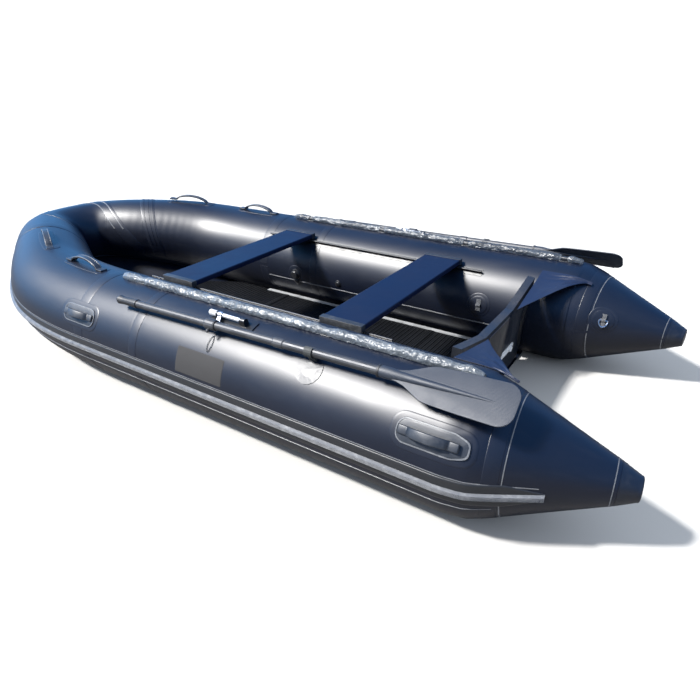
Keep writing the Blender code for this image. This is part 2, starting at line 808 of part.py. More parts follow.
board_starts = [FLOOR_START] + [run_x(s) for s in BOARD_SHARES[1:]]
for index in range(3):
    span = board_starts[index + 1] - board_starts[index] - BOARD_JOINT
    board("floor_board_" + str(index + 1), board_starts[index], span)
bow_board = board("floor_board_bow", board_starts[3], BOW_BOARD_LENGTH)
taper_start = RUN_END - board_starts[3] + BOW_BOARD_LENGTH * 0.28
bow_plan = [
    (-GAP * 10, -BOARD_HALF_WIDTH - GAP * 10), (taper_start, -BOARD_HALF_WIDTH - GAP * 10),
    (BOW_BOARD_LENGTH * 1.01, -BOW_BOARD_TIP_HALF), (BOW_BOARD_LENGTH * 1.01, BOW_BOARD_TIP_HALF),
    (taper_start, BOARD_HALF_WIDTH + GAP * 10), (-GAP * 10, BOARD_HALF_WIDTH + GAP * 10),
]
plan_place = Matrix.Translation((board_starts[3], 0, FLOOR_TOP))
bow_cutter = plate("bow_board_plan", bow_plan, 4 * BOARD_THICK, metal, plan_place, CUTTERS)
cut(bow_board, bow_cutter, "INTERSECT")
to_mesh(bow_board, metal)

# Joining strip on the fore edge of each board but the last, which takes the next one
lip_half = BOARD_HALF_WIDTH - STRINGER_LIP - STRINGER_CLEAR
strip_top = FLOOR_TOP + STRINGER_CLEAR / 2
strip_base = FLOOR_TOP - BOARD_THICK - STRINGER_CLEAR / 2
flange = JOINER_FLANGE / 2
web = BOARD_JOINT / 2
for index in range(3):
    name = "floor_board_" + str(index + 1)
    centre = board_starts[index + 1] - BOARD_JOINT / 2
    bite = RIB_HEIGHT * 1.5
    section = [
        (-flange, strip_base - JOINER_WALL), (flange, strip_base - JOINER_WALL),
        (flange, strip_base), (web - STRINGER_CLEAR, strip_base),
        (web - STRINGER_CLEAR, strip_top), (flange, strip_top),
        (flange, strip_top + JOINER_WALL), (-flange, strip_top + JOINER_WALL),
        (-flange, FLOOR_TOP - bite), (-web - bite, FLOOR_TOP - bite),
        (-web - bite, FLOOR_TOP - BOARD_THICK + bite), (-flange, FLOOR_TOP - BOARD_THICK + bite),
    ]
    side_view = Matrix.Translation((centre, 0, 0)) @ Matrix.Rotation(math.radians(90), 4, "X")
    strip = plate("strip", section, 2 * lip_half, metal, side_view)
    united(name, [BOAT.objects[name], strip], metal)

# Side stringers that clip over the board edges
s_in = BOARD_HALF_WIDTH - STRINGER_LIP
s_edge = BOARD_HALF_WIDTH + STRINGER_CLEAR
s_out = s_edge + STRINGER_WALL * 1.5
s_top = FLOOR_TOP + STRINGER_CLEAR / 2
s_low = FLOOR_TOP - BOARD_THICK - STRINGER_CLEAR / 2
section = [
    (s_in, s_low - STRINGER_WALL), (s_out, s_low - STRINGER_WALL), (s_out, s_top + STRINGER_WALL),
    (s_in, s_top + STRINGER_WALL), (s_in, s_top), (s_edge, s_top), (s_edge, s_low), (s_in, s_low),
]
stringer_start = FLOOR_START + BOARD_JOINT
stringer_end = RUN_END - BOARD_JOINT
# Local X of the section is world Y, local Y is world Z and the extrusion is along world X.
CROSS = Matrix(((0, 0, 1, 0), (1, 0, 0, 0), (0, 1, 0, 0), (0, 0, 0, 1)))
middle = Matrix.Translation(((stringer_start + stringer_end) / 2, 0, 0)) @ CROSS
bright = material("stringer_metal", (0.55, 0.56, 0.57), 0.35, 0.9)
port_stringer = plate("stringer_port", section, stringer_end - stringer_start, bright, middle)
mirrored(port_stringer, "stringer_starboard", bright)


# Transom board between the tubes, built upright and then leaned back about its top edge
transom_x = run_x(TRANSOM_SHARE)
RAKE = (Matrix.Translation((transom_x, 0, TRANSOM_TOP))
        @ Matrix.Rotation(-math.radians(TRANSOM_RAKE), 4, "Y")
        @ Matrix.Translation((-transom_x, 0, -TRANSOM_TOP)))


def leaned(obj):
    """Lean a finished piece of the transom about its top edge."""
    obj.data.transform(RAKE)
    return obj


def leaned_z(z):
    """Height of a point of the leaned transom that stood at a height before."""
    return TRANSOM_TOP - (TRANSOM_TOP - z) * math.cos(math.radians(TRANSOM_RAKE))


heights = [TRANSOM_BILGE + (TRANSOM_TOP - TRANSOM_BILGE) * k / 12 for k in range(13)]
half_outline = [(0.0, TRANSOM_BOTTOM)]
for z in heights:
    edge = tube_inner_y(leaned_z(z), TRANSOM_TUBE_CLEAR)
    half_outline.append((min(TRANSOM_SHOULDER_HALF, edge), z))
half_outline.append((TRANSOM_CUT_HALF, TRANSOM_CUT_HEIGHT))
outline = half_outline + [(-y, z) for y, z in half_outline[:0:-1]]
wood = material("transom_wood", (0.10, 0.085, 0.07), 0.5)
transom_place = Matrix.Translation((transom_x, 0, 0)) @ CROSS
transom = plate("transom_board", outline, TRANSOM_THICK, wood, transom_place)

# Motor pads on both faces of the cut-out
for label, sign in (("outer", -1.0), ("inner", 1.0)):
    x = transom_x + sign * (TRANSOM_THICK / 2 + PLATE_THICK / 2 + GAP)
    z = TRANSOM_CUT_HEIGHT - PLATE_DROP - PLATE_HEIGHT / 2
    size = (PLATE_THICK, 2 * PLATE_HALF_WIDTH, PLATE_HEIGHT)
    pad = to_mesh(bevel(box("motor_plate_" + label, size, (x, 0.0, z), cap_rubber), PLATE_EDGE, 1),
                  cap_rubber)
    leaned(pad)


def holder(name):
    """Rubber channel, glued to the port tube, that takes the transom's edge."""
    rings = []
    steps = 8
    near = TRANSOM_THICK / 2 + GAP
    far = near + HOLDER_THICK
    for k in range(steps + 1):
        z = HOLDER_LOW + (HOLDER_HIGH - HOLDER_LOW) * k / steps
        floor = tube_inner_y(leaned_z(z), TRANSOM_TUBE_CLEAR) + GAP
        back = tube_inner_y(leaned_z(z), HOLDER_TUBE_CLEAR)
        section = [(-far, back), (-far, floor - HOLDER_HALF / 2), (-near, floor - HOLDER_HALF),
                   (-near, floor), (near, floor), (near, floor - HOLDER_HALF),
                   (far, floor - HOLDER_HALF / 2), (far, back)]
        rings.append([(transom_x + u, y, z) for u, y in section])
    return loft(name, rings, cap_rubber)


port_holder = leaned(holder("transom_holder_port"))
mirrored(port_holder, "transom_holder_starboard", cap_rubber)


def tube_at(x):
    """Axis distance from the middle and radius of the side tube at an x."""
    xs = [p.x for p in SIDE_PATH]
    return (float(np.interp(x, xs, [p.y for p in SIDE_PATH])),
            float(np.interp(x, xs, SIDE_RADII)))


def gusset(name):
    """Fabric web from the transom's shoulder aft along the port tube."""
    a = math.radians(GUSSET_ANGLE)
    fore = transom_x - TRANSOM_THICK / 2 - HOLDER_THICK - GAP * 4
    inner_y = TRANSOM_CUT_HALF + GUSSET_TOP_INSET
    rings = []
    steps = 7
    for k in range(steps + 1):
        t = k / steps
        x = fore - GUSSET_LENGTH * t
        axis_y, radius = tube_at(x)
        lift = radius + GUSSET_THICK + GAP * 2
        touch = Vector((x, axis_y + lift * math.cos(a), AXIS_Z + lift * math.sin(a)))
        inner = Vector((x, inner_y, TRANSOM_CUT_HEIGHT))
        shoulder = Vector((x, TRANSOM_SHOULDER_HALF, TRANSOM_TOP - GUSSET_TOP_INSET))
        width = max((1.0 - t) ** 1.3, GUSSET_END_SHARE)
        line = [inner, inner.lerp(shoulder, 0.5), shoulder, shoulder.lerp(touch, 0.5), touch]
        upper = [touch.lerp(p, width) for p in line]
        lower = [p - UP * GUSSET_THICK for p in upper[::-1]]
        rings.append(upper + lower)
    return loft(name, rings, fabric)


port_gusset = gusset("gusset_port")
mirrored(port_gusset, "gusset_starboard", fabric)

# Drain socket through the transom and its plug
cut(transom, turned("drain_hole", [
    (0.0, TRANSOM_THICK), (DRAIN_BORE + DRAIN_FLANGE + GAP, TRANSOM_THICK),
    (DRAIN_BORE + DRAIN_FLANGE + GAP, -TRANSOM_THICK), (0.0, -TRANSOM_THICK)],
    cap_rubber, Matrix.Translation((transom_x, DRAIN_Y, DRAIN_Z))
    @ Matrix.Rotation(math.radians(-90), 4, "Y"), coll=CUTTERS))
transom = leaned(to_mesh(transom, wood))
drain_place = Matrix.Translation((transom_x, DRAIN_Y, DRAIN_Z)) @ Matrix.Rotation(
    math.radians(-90), 4, "Y")
face_at = TRANSOM_THICK / 2 + GAP
pipe = turned("pipe", [
    (0.0, face_at + DRAIN_FLANGE / 2), (DRAIN_BORE + DRAIN_FLANGE, face_at + DRAIN_FLANGE / 2),
    (DRAIN_BORE + DRAIN_FLANGE, -TRANSOM_THICK / 2 - GAP), (0.0, -TRANSOM_THICK / 2 - GAP)],
    cap_rubber, drain_place)
run = DRAIN_PLATE_LENGTH / 2 - DRAIN_PLATE_HALF
plate_middle = run + DRAIN_PLATE_HALF - DRAIN_PLATE_LENGTH * 0.3
rounding = []
for k in range(2 * SEGMENTS):
    a = FULL_TURN * (k + 0.5) / (2 * SEGMENTS)
    side = 1.0 if a < FULL_TURN / 4 or a > FULL_TURN * 3 / 4 else -1.0
    a = math.radians(a)
    rounding.append((plate_middle + side * run + DRAIN_PLATE_HALF * math.cos(a),
                     DRAIN_PLATE_HALF * math.sin(a)))
drain_plate = plate("drain_plate", rounding, DRAIN_FLANGE, cap_rubber, Matrix.Translation(
    (transom_x - face_at - DRAIN_FLANGE / 2, DRAIN_Y, DRAIN_Z)) @ CROSS)
socket = united("drain_socket", [drain_plate, pipe], cap_rubber)
cut(socket, turned("drain_bore", [
    (0.0, TRANSOM_THICK), (DRAIN_BORE, TRANSOM_THICK), (DRAIN_BORE, -TRANSOM_THICK),
    (0.0, -TRANSOM_THICK)], cap_rubber, drain_place, coll=CUTTERS))
leaned(to_mesh(socket, cap_rubber))
knob_low = face_at + DRAIN_FLANGE + GAP
plug_profile = [
    (0.0, knob_low + DRAIN_KNOB_LENGTH), (DRAIN_KNOB_RADIUS * 0.85, knob_low + DRAIN_KNOB_LENGTH),
    (DRAIN_KNOB_RADIUS, knob_low + DRAIN_KNOB_LENGTH / 2), (DRAIN_KNOB_RADIUS, knob_low),
    (DRAIN_BORE - DRAIN_PLAY, knob_low), (DRAIN_BORE - DRAIN_PLAY, knob_low - DRAIN_PLUG_LENGTH),
    (0.0, knob_low - DRAIN_PLUG_LENGTH),
]
plug = leaned(turned("drain_plug", plug_profile, cap_rubber, drain_place))
hang(plug, pivot("drain_axis", RAKE @ Vector((transom_x, DRAIN_Y, DRAIN_Z))))

# Benches with their sliding feet
track_turn = math.radians(TRACK_ANGLE)
track_out = Vector((0, math.cos(track_turn), math.sin(track_turn)))
bead = Vector((0, HALF_SPACING, AXIS_Z)) + track_out * (TUBE_RADIUS + TRACK_RISE)
bench_mat = material("bench", BENCH_BLUE, 0.45)


def foot_section():
    """Section of a bench foot round the track's bead, in (Y, Z)."""
    inner = TRACK_BEAD_RADIUS + FOOT_PLAY
    outer = inner + FOOT_WALL
    mouth = math.asin((TRACK_WEB / 2 + FOOT_MOUTH_PLAY) / inner)
    mouth_outer = math.asin((TRACK_WEB / 2 + FOOT_MOUTH_PLAY) / outer)
    back = track_turn + math.pi
    ceiling = BENCH_TOP - BENCH_THICK + BENCH_EDGE / 2
    points = []
    steps = 12
    for k in range(steps + 1):
        a = back + mouth + (2 * math.pi - 2 * mouth) * k / steps
        points.append((bead.y + inner * math.cos(a), bead.z + inner * math.sin(a)))
    outside = []
    for k in range(steps + 1):
        a = back - mouth_outer - (2 * math.pi - 2 * mouth_outer) * k / steps
        y = bead.y + outer * math.cos(a)
        z = bead.z + outer * math.sin(a)
        outside.append((y, ceiling if math.sin(a) > 0.3 else z))
    return points + outside


foot_mat = material("foot", RUBBER, 0.5)
benches = (("rear", BENCH_SHARES[0]), ("front", BENCH_SHARES[1]))
for label, share in benches:
    x = run_x(share)
    name = "bench_" + label
    centre = (x, 0.0, BENCH_TOP - BENCH_THICK / 2)
    seat_board = box("seat", (BENCH_WIDTH, BENCH_LENGTH, BENCH_THICK), centre, bench_mat)
    seat_board = to_mesh(bevel(seat_board, BENCH_EDGE, 2), bench_mat)
    foot_place = Matrix.Translation((x, 0, 0)) @ CROSS
    port_foot = plate("foot", foot_section(), FOOT_LENGTH, foot_mat, foot_place)
    star_foot = mirrored(port_foot, "foot_twin", foot_mat)
    bench = united(name, [seat_board, port_foot, star_foot], bench_mat)
    hang(bench, pivot("bench_slide_" + label, (x, 0.0, BENCH_TOP)))

# Tracks: a bead on a web that stands on a glued flange
track_x0, track_x1 = run_x(TRACK_START_SHARE), run_x(TRACK_END_SHARE)


def track_section():
    """Section of a track, in (Y, Z)."""
    side_dir = Vector((0, -track_out.z, track_out.y))
    centre = Vector((0, HALF_SPACING, AXIS_Z))
    points = []
    steps = 10
    join_angle = math.asin(TRACK_WEB / 2 / TRACK_BEAD_RADIUS)
    for k in range(steps + 1):
        a = math.pi + join_angle + (2 * math.pi - 2 * join_angle) * k / steps
        p = bead + track_out * (TRACK_BEAD_RADIUS * math.cos(a))
        p = p + side_dir * (TRACK_BEAD_RADIUS * math.sin(a))
        points.append((p.y, p.z))
    root = TUBE_RADIUS + GAP + TRACK_FLANGE_THICK
    spread = TRACK_FLANGE / 2 / TUBE_RADIUS
    web_turn = TRACK_WEB / 2 / TUBE_RADIUS
    for turn, radius in (
        (web_turn, root), (spread / 2, root), (spread, root), (spread, TUBE_RADIUS + GAP * 3),
        (spread / 2, TUBE_RADIUS + GAP * 3), (0.0, TUBE_RADIUS + GAP * 3),
        (-spread / 2, TUBE_RADIUS + GAP * 3), (-spread, TUBE_RADIUS + GAP * 3), (-spread, root),
        (-spread / 2, root), (-web_turn, root),
    ):
        a = track_turn + turn
        points.append((centre.y + radius * math.cos(a), centre.z + radius * math.sin(a)))
    return points


track_place = Matrix.Translation(((track_x0 + track_x1) / 2, 0, 0)) @ CROSS
port_track = plate("seat_track_port", track_section(), track_x1 - track_x0, foot_mat, track_place)
mirrored(port_track, "seat_track_starboard", foot_mat)

# Rowlock on the port tube
steel = material("steel", STEEL, 0.25, 1.0)
row_x = run_x(ROWLOCK_SHARE)
oar_frame = seat(OAR_ANGLE, OAR_HEIGHT, row_x)
pin_frame = seat(PIN_ANGLE, PIN_HEIGHT, row_x)
ALONG = Matrix.Rotation(math.radians(90), 4, "Y")
# Turns an eight-sided shape by half a side, so that a flat and not a corner faces down
HALF_STEP = Matrix.Rotation(math.radians(FULL_TURN / 16), 4, "Z")
pin_front = EYE_AHEAD + EYE_WIDTH / 2 + FRONT_EAR_WIDTH + PIN_CAP_LENGTH + 4 * GAP
pin_back = -PIN_AFT
ear_at = EYE_AHEAD + EYE_WIDTH / 2 + EYE_PLAY
sleeve_at = EYE_AHEAD - EYE_WIDTH / 2 - EYE_PLAY
pin_profile = [
    (0.0, pin_front), (PIN_CAP_RADIUS * 0.8, pin_front), (PIN_CAP_RADIUS, pin_front - GAP * 10),
    (PIN_CAP_RADIUS, pin_front - PIN_CAP_LENGTH), (PIN_RADIUS, pin_front - PIN_CAP_LENGTH),
    (PIN_RADIUS, sleeve_at), (PIN_SLEEVE_RADIUS, sleeve_at),
    (PIN_SLEEVE_RADIUS, pin_back + HOUSING_WIDTH + GAP), (PIN_RADIUS, pin_back + HOUSING_WIDTH + GAP),
    (PIN_RADIUS, pin_back + HOUSING_WIDTH / 4), (0.0, pin_back + HOUSING_WIDTH / 4),
]


def post(name, x0, x1, radius):
    """Moulded post that stands on the base pad and is rounded over the pin."""
    steps = 10
    foot = -PIN_HEIGHT + GAP * 4
    points = [(-radius, foot), (radius, foot)]
    for k in range(steps + 1):
        a = math.pi * k / steps
        points.append((radius * math.cos(a), radius * math.sin(a)))
    place = pin_frame @ Matrix.Translation(((x0 + x1) / 2, 0, 0)) @ CROSS
    return plate(name, points, x1 - x0, cap_rubber, place)


housing = post("housing", pin_back, pin_back + HOUSING_WIDTH, HOUSING_RADIUS)
ear = post("ear", ear_at, ear_at + FRONT_EAR_WIDTH, HOUSING_RADIUS)
pad_x0 = row_x + pin_back - (BASE_PAD_LENGTH - PIN_AFT) / 3
pad = wrapped_patch("pad", pad_x0, pad_x0 + BASE_PAD_LENGTH, PIN_ANGLE - BASE_PAD_HALF_ANGLE,
                    PIN_ANGLE + BASE_PAD_HALF_ANGLE / 2, GAP * 2, BASE_PAD_THICK, cap_rubber)
base_body = united("rowlock_base_port", [pad, housing, ear], cap_rubber)
bore = turned("pin_bore", [
    (0.0, pin_front), (PIN_RADIUS + EYE_PLAY, pin_front),
    (PIN_RADIUS + EYE_PLAY, pin_back + HOUSING_WIDTH / 4 - GAP),
    (0.0, pin_back + HOUSING_WIDTH / 4 - GAP)], steel, pin_frame @ ALONG, coll=CUTTERS)
cut(base_body, bore)
base_port = to_mesh(base_body, cap_rubber)
pin_port = turned("rowlock_pin_port", pin_profile, steel, pin_frame @ ALONG, steps=12)

# Rocker: an eye on the pin with an arm that reaches under the shaft and carries a stud
pin_place = pin_frame.translation
oar_place = oar_frame.translation
normal = oar_frame.to_3x3() @ Vector((0, 0, 1))
tangent = oar_frame.to_3x3() @ Vector((0, 1, 0))
eye_place = pin_frame @ Matrix.Translation((EYE_AHEAD, 0, 0)) @ ALONG
eye = turned("eye", [
    (0.0, EYE_WIDTH / 2), (EYE_RADIUS, EYE_WIDTH / 2), (EYE_RADIUS, -EYE_WIDTH / 2),
    (0.0, -EYE_WIDTH / 2)], steel, eye_place)
arm_top = oar_place - normal * (OAR_HEIGHT - ARM_LEVEL - ARM_THICK)
arm_mid = oar_place - normal * (OAR_HEIGHT - ARM_LEVEL - ARM_THICK / 2)
reach = (pin_place - arm_mid).dot(tangent)
arm_root = reach + PIN_SLEEVE_RADIUS * 1.5
arm_outline = [(EYE_AHEAD - EYE_WIDTH / 2, reach), (EYE_AHEAD - EYE_WIDTH / 2, arm_root)]
for k in range(9):
    a = math.pi * k / 8
    arm_outline.append((-ARM_HALF_WIDTH * math.cos(a), ARM_HALF_WIDTH * math.sin(a)))
arm_outline += [(EYE_AHEAD + EYE_WIDTH / 2, arm_root), (EYE_AHEAD + EYE_WIDTH / 2, reach)]
arm_place = Matrix.Translation(arm_mid) @ oar_frame.to_3x3().to_4x4()
arm = plate("arm", arm_outline, ARM_THICK, steel, arm_place)
stud_place = Matrix.Translation(arm_mid) @ oar_frame.to_3x3().to_4x4()
stud = turned("stud", [
    (0.0, ARM_THICK / 2 + STUD_HEIGHT), (STUD_RADIUS * 0.8, ARM_THICK / 2 + STUD_HEIGHT),
    (STUD_RADIUS, ARM_THICK / 2 + STUD_HEIGHT * 0.8), (STUD_RADIUS, 0.0), (0.0, 0.0)],
    steel, stud_place, steps=16)
rocker = united("oar_port_rocker", [eye, arm, stud], steel)
eye_bore = turned("eye_bore", [
    (0.0, EYE_WIDTH), (PIN_RADIUS + EYE_PLAY, EYE_WIDTH), (PIN_RADIUS + EYE_PLAY, -EYE_WIDTH),
    (0.0, -EYE_WIDTH)], steel, eye_place, coll=CUTTERS)
cut(rocker, eye_bore)
rocker = to_mesh(rocker, steel)

# Oar in its own frame: local X forward along the shaft, Z out of the tube
oar_local = Matrix.Translation(oar_place) @ oar_frame.to_3x3().to_4x4() @ Matrix.Rotation(
    math.radians(OAR_SKEW), 4, "Z")
oar_grey = material("oar_grey", (0.09, 0.095, 0.105), 0.4, 0.3)
blade_grey = material("blade_grey", (0.07, 0.085, 0.11), 0.55)
sleeve = SHAFT_RADIUS + SHAFT_WALL_SLEEVE
shaft_profile = [
    (0.0, SHAFT_FORWARD), (SHAFT_RADIUS, SHAFT_FORWARD),
    (SHAFT_RADIUS, -SLEEVE_FROM_PIVOT + SLEEVE_LENGTH / 2),
    (sleeve, -SLEEVE_FROM_PIVOT + SLEEVE_LENGTH * 0.4),
    (sleeve, -SLEEVE_FROM_PIVOT - SLEEVE_LENGTH * 0.4),
    (SHAFT_RADIUS, -SLEEVE_FROM_PIVOT - SLEEVE_LENGTH / 2),
    (SHAFT_RADIUS, -SHAFT_AFT), (0.0, -SHAFT_AFT),
]
shaft = turned("oar_port_shaft", shaft_profile, oar_grey, oar_local @ ALONG)
grip_front = SHAFT_FORWARD + GRIP_LENGTH + GAP
grip_profile = [
    (0.0, grip_front), (GRIP_RADIUS * 0.8, grip_front - GRIP_LENGTH * 0.02),
    (GRIP_RADIUS, grip_front - GRIP_LENGTH * 0.1), (GRIP_WAIST, grip_front - GRIP_LENGTH * 0.3),
    (GRIP_WAIST * 1.08, grip_front - GRIP_LENGTH * 0.6),
    (GRIP_RADIUS, SHAFT_FORWARD + GAP + GRIP_LENGTH * 0.06), (GRIP_RADIUS, SHAFT_FORWARD + GAP),
    (0.0, SHAFT_FORWARD + GAP),
]
grip = turned("oar_port_grip", grip_profile, cap_rubber, oar_local @ ALONG)

# Blade with a socket and a tapering spine
blade_front = -SHAFT_AFT + BLADE_SOCKET_LENGTH
blade_root = -SHAFT_AFT - GAP
edge_points = [(blade_root - BLADE_LENGTH * s, BLADE_HALF_WIDTH * w)
               for s, w in zip(BLADE_X_SHARES, BLADE_Y_SHARES)]
blade_outline = edge_points + [(x, -y) for x, y in edge_points[::-1]]
blade_plate = plate("blade_plate", blade_outline, BLADE_THICK, blade_grey, oar_local)
neck_profile = [
    (0.0, blade_front), (BLADE_SOCKET_RADIUS * 0.92, blade_front),
    (BLADE_SOCKET_RADIUS, blade_front - BLADE_SOCKET_LENGTH * 0.15),
    (BLADE_SOCKET_RADIUS, blade_root), (SHAFT_RADIUS, blade_root - BLADE_SOCKET_LENGTH),
    (BLADE_THICK * 0.62, blade_root - BLADE_SPINE_LENGTH), (0.0, blade_root - BLADE_SPINE_LENGTH),
]
neck = turned("neck", neck_profile, blade_grey, oar_local @ ALONG, steps=16)
blade = united("oar_port_blade", [blade_plate, neck], blade_grey)
blade_bore = turned("blade_bore", [
    (0.0, 0.0), (SHAFT_RADIUS + GAP, 0.0), (SHAFT_RADIUS + GAP, -SHAFT_AFT - GAP / 2),
    (0.0, -SHAFT_AFT - GAP / 2)], blade_grey, oar_local @ ALONG, coll=CUTTERS)
cut(blade, blade_bore)
blade = to_mesh(blade, blade_grey)

# Collar round the shaft with a boss that turns on the rocker's stud
boss_low = -(OAR_HEIGHT - ARM_LEVEL - ARM_THICK) + GAP * 2
ring = turned("ring", [
    (0.0, COLLAR_LENGTH / 2), (COLLAR_RADIUS * 0.9, COLLAR_LENGTH / 2),
    (COLLAR_RADIUS, COLLAR_LENGTH * 0.4), (COLLAR_RADIUS, -COLLAR_LENGTH * 0.4),
    (COLLAR_RADIUS * 0.9, -COLLAR_LENGTH / 2), (0.0, -COLLAR_LENGTH / 2)],
    oar_grey, oar_local @ ALONG)
boss = turned("boss", [
    (0.0, 0.0), (COLLAR_BOSS_RADIUS, 0.0), (COLLAR_BOSS_RADIUS, boss_low), (0.0, boss_low)],
    oar_grey, oar_local, steps=14)
knob_place = oar_local @ Matrix.Translation((0, COLLAR_RADIUS, 0)) @ Matrix.Rotation(
    math.radians(-90), 4, "X")
knob = turned("knob", [
    (0.0, COLLAR_KNOB_RADIUS * 2), (COLLAR_KNOB_RADIUS * 0.7, COLLAR_KNOB_RADIUS * 1.7),
    (COLLAR_KNOB_RADIUS, COLLAR_KNOB_RADIUS), (COLLAR_KNOB_RADIUS * 0.7, COLLAR_KNOB_RADIUS * 0.3),
    (COLLAR_KNOB_RADIUS * 0.5, -COLLAR_KNOB_RADIUS / 2), (0.0, -COLLAR_KNOB_RADIUS / 2)],
    oar_grey, knob_place, steps=14)
collar = united("oar_port_collar", [ring, boss, knob], oar_grey)
shaft_bore = turned("shaft_bore", [
    (0.0, COLLAR_LENGTH), (SHAFT_RADIUS + GAP, COLLAR_LENGTH),
    (SHAFT_RADIUS + GAP, -COLLAR_LENGTH), (0.0, -COLLAR_LENGTH)], oar_grey,
    oar_local @ ALONG, coll=CUTTERS)
cut(collar, shaft_bore)
stud_top = -(OAR_HEIGHT - ARM_LEVEL - ARM_THICK) + STUD_HEIGHT + STUD_PLAY
stud_bore = turned("stud_bore", [
    (0.0, stud_top), (STUD_RADIUS + STUD_PLAY, stud_top),
    (STUD_RADIUS + STUD_PLAY, boss_low * 2), (0.0, boss_low * 2)], oar_grey,
    oar_local, steps=16, coll=CUTTERS)
cut(collar, stud_bore)
collar = to_mesh(collar, oar_grey)

STARBOARD_TURN = (Matrix.Translation((0, -HALF_SPACING, AXIS_Z))
                  @ Matrix.Rotation(math.radians(STARBOARD_OAR_DROP), 4, "X")
                  @ Matrix.Translation((0, HALF_SPACING, -AXIS_Z)))


def lowered(obj):
    """Turn a starboard copy round its tube to where the starboard oar is stowed."""
    obj.data.transform(STARBOARD_TURN)
    return obj


port_rock = pivot("oar_port_rock", pin_place)
port_swing = pivot("oar_port_swing", oar_place)
MIRROR = Matrix.Diagonal((1, -1, 1, 1))
star_rock = pivot("oar_starboard_rock", STARBOARD_TURN @ MIRROR @ pin_place)
star_swing = pivot("oar_starboard_swing", STARBOARD_TURN @ MIRROR @ oar_place)
lowered(mirrored(base_port, "rowlock_base_starboard", cap_rubber))
lowered(mirrored(pin_port, "rowlock_pin_starboard", steel))
for piece, look in ((shaft, oar_grey), (grip, cap_rubber), (blade, blade_grey),
                    (collar, oar_grey)):
    twin = lowered(mirrored(piece, piece.name.replace("port", "starboard"), look))
    hang(twin, star_swing)
    hang(piece, port_swing)
hang(lowered(mirrored(rocker, "oar_starboard_rocker", steel)), star_rock)
hang(rocker, port_rock)

# Rubber clip that holds the shaft aft of the rowlock, on a round patch
clip_x = run_x(CLIP_SHARE)
from_pivot = row_x - clip_x
clip_centre = oar_local @ Vector((-from_pivot, 0, 0))
clip_hold = Matrix.Translation(clip_centre) @ oar_local.to_3x3().to_4x4()
inner = SHAFT_RADIUS + CLIP_PLAY
outer = inner + CLIP_WALL
clip_steps = 14
mouth0 = math.radians(CLIP_MOUTH_CENTRE + CLIP_MOUTH_HALF)
mouth_span = math.radians(FULL_TURN - 2 * CLIP_MOUTH_HALF)
inside, outside = [], []
for k in range(clip_steps + 1):
    a = mouth0 + mouth_span * k / clip_steps
    inside.append((inner * math.cos(a), inner * math.sin(a)))
    outside.append((outer * math.cos(a), outer * math.sin(a)))
clip_ring = plate("clip_ring", inside + outside[::-1], CLIP_WIDTH, cap_rubber,
                  clip_hold @ CROSS)
clip_angle = math.degrees(math.atan2(clip_centre.z - AXIS_Z, clip_centre.y - HALF_SPACING))
clip_height = math.hypot(clip_centre.z - AXIS_Z, clip_centre.y - HALF_SPACING) - TUBE_RADIUS
stem_top = clip_height - inner - CLIP_WALL / 2
stem_low = GAP * 3
stem = box("stem", (CLIP_WIDTH, CLIP_WIDTH * 0.7, stem_top - stem_low),
           (0, 0, (stem_top + stem_low) / 2), cap_rubber)
stem.matrix_world = seat(clip_angle, 0.0, clip_x)
patch_place = seat(CLIP_PATCH_ANGLE, GAP * 2, clip_x)
clip_patch = round_patch("clip_patch", patch_place, CLIP_PATCH_RADIUS, CLIP_PATCH_THICK,
                         TUBE_RADIUS + GAP * 2, cap_rubber)
clip_port = united("oar_clip_port", [clip_patch, stem, clip_ring], cap_rubber)
lowered(mirrored(clip_port, "oar_clip_starboard", cap_rubber))

# Grab line along each tube top, through rubber holders
straight = GRIP_HUMP_LENGTH / 2 + LINE_RADIUS
stops = [run_x(share) for share in HOLDER_SHARES]
line_points = [(stops[0] - straight - LINE_END, LINE_LEVEL - LINE_SAG)]
for here, there in zip(stops, stops[1:] + [stops[-1] + 2 * (straight + LINE_END)]):
    line_points += [(here - straight, LINE_LEVEL), (here + straight, LINE_LEVEL)]
    for share in LINE_SPAN_SHARES:
        if there <= stops[-1]:
            x = here + straight + (there - here - 2 * straight) * share
            line_points.append((x, LINE_LEVEL - LINE_SAG))
line_points.append((stops[-1] + straight + LINE_END, LINE_LEVEL - LINE_SAG))
line_points = [seat(HOLDER_TOP_ANGLE, level, x).translation for x, level in line_points]
rope = material("rope", (0.012, 0.014, 0.02), 0.8)
port_line = sweep("grab_line_port", line_points, [LINE_RADIUS] * len(line_points), rope)
port_line = to_mesh(port_line, rope)
mirrored(port_line, "grab_line_starboard", rope)

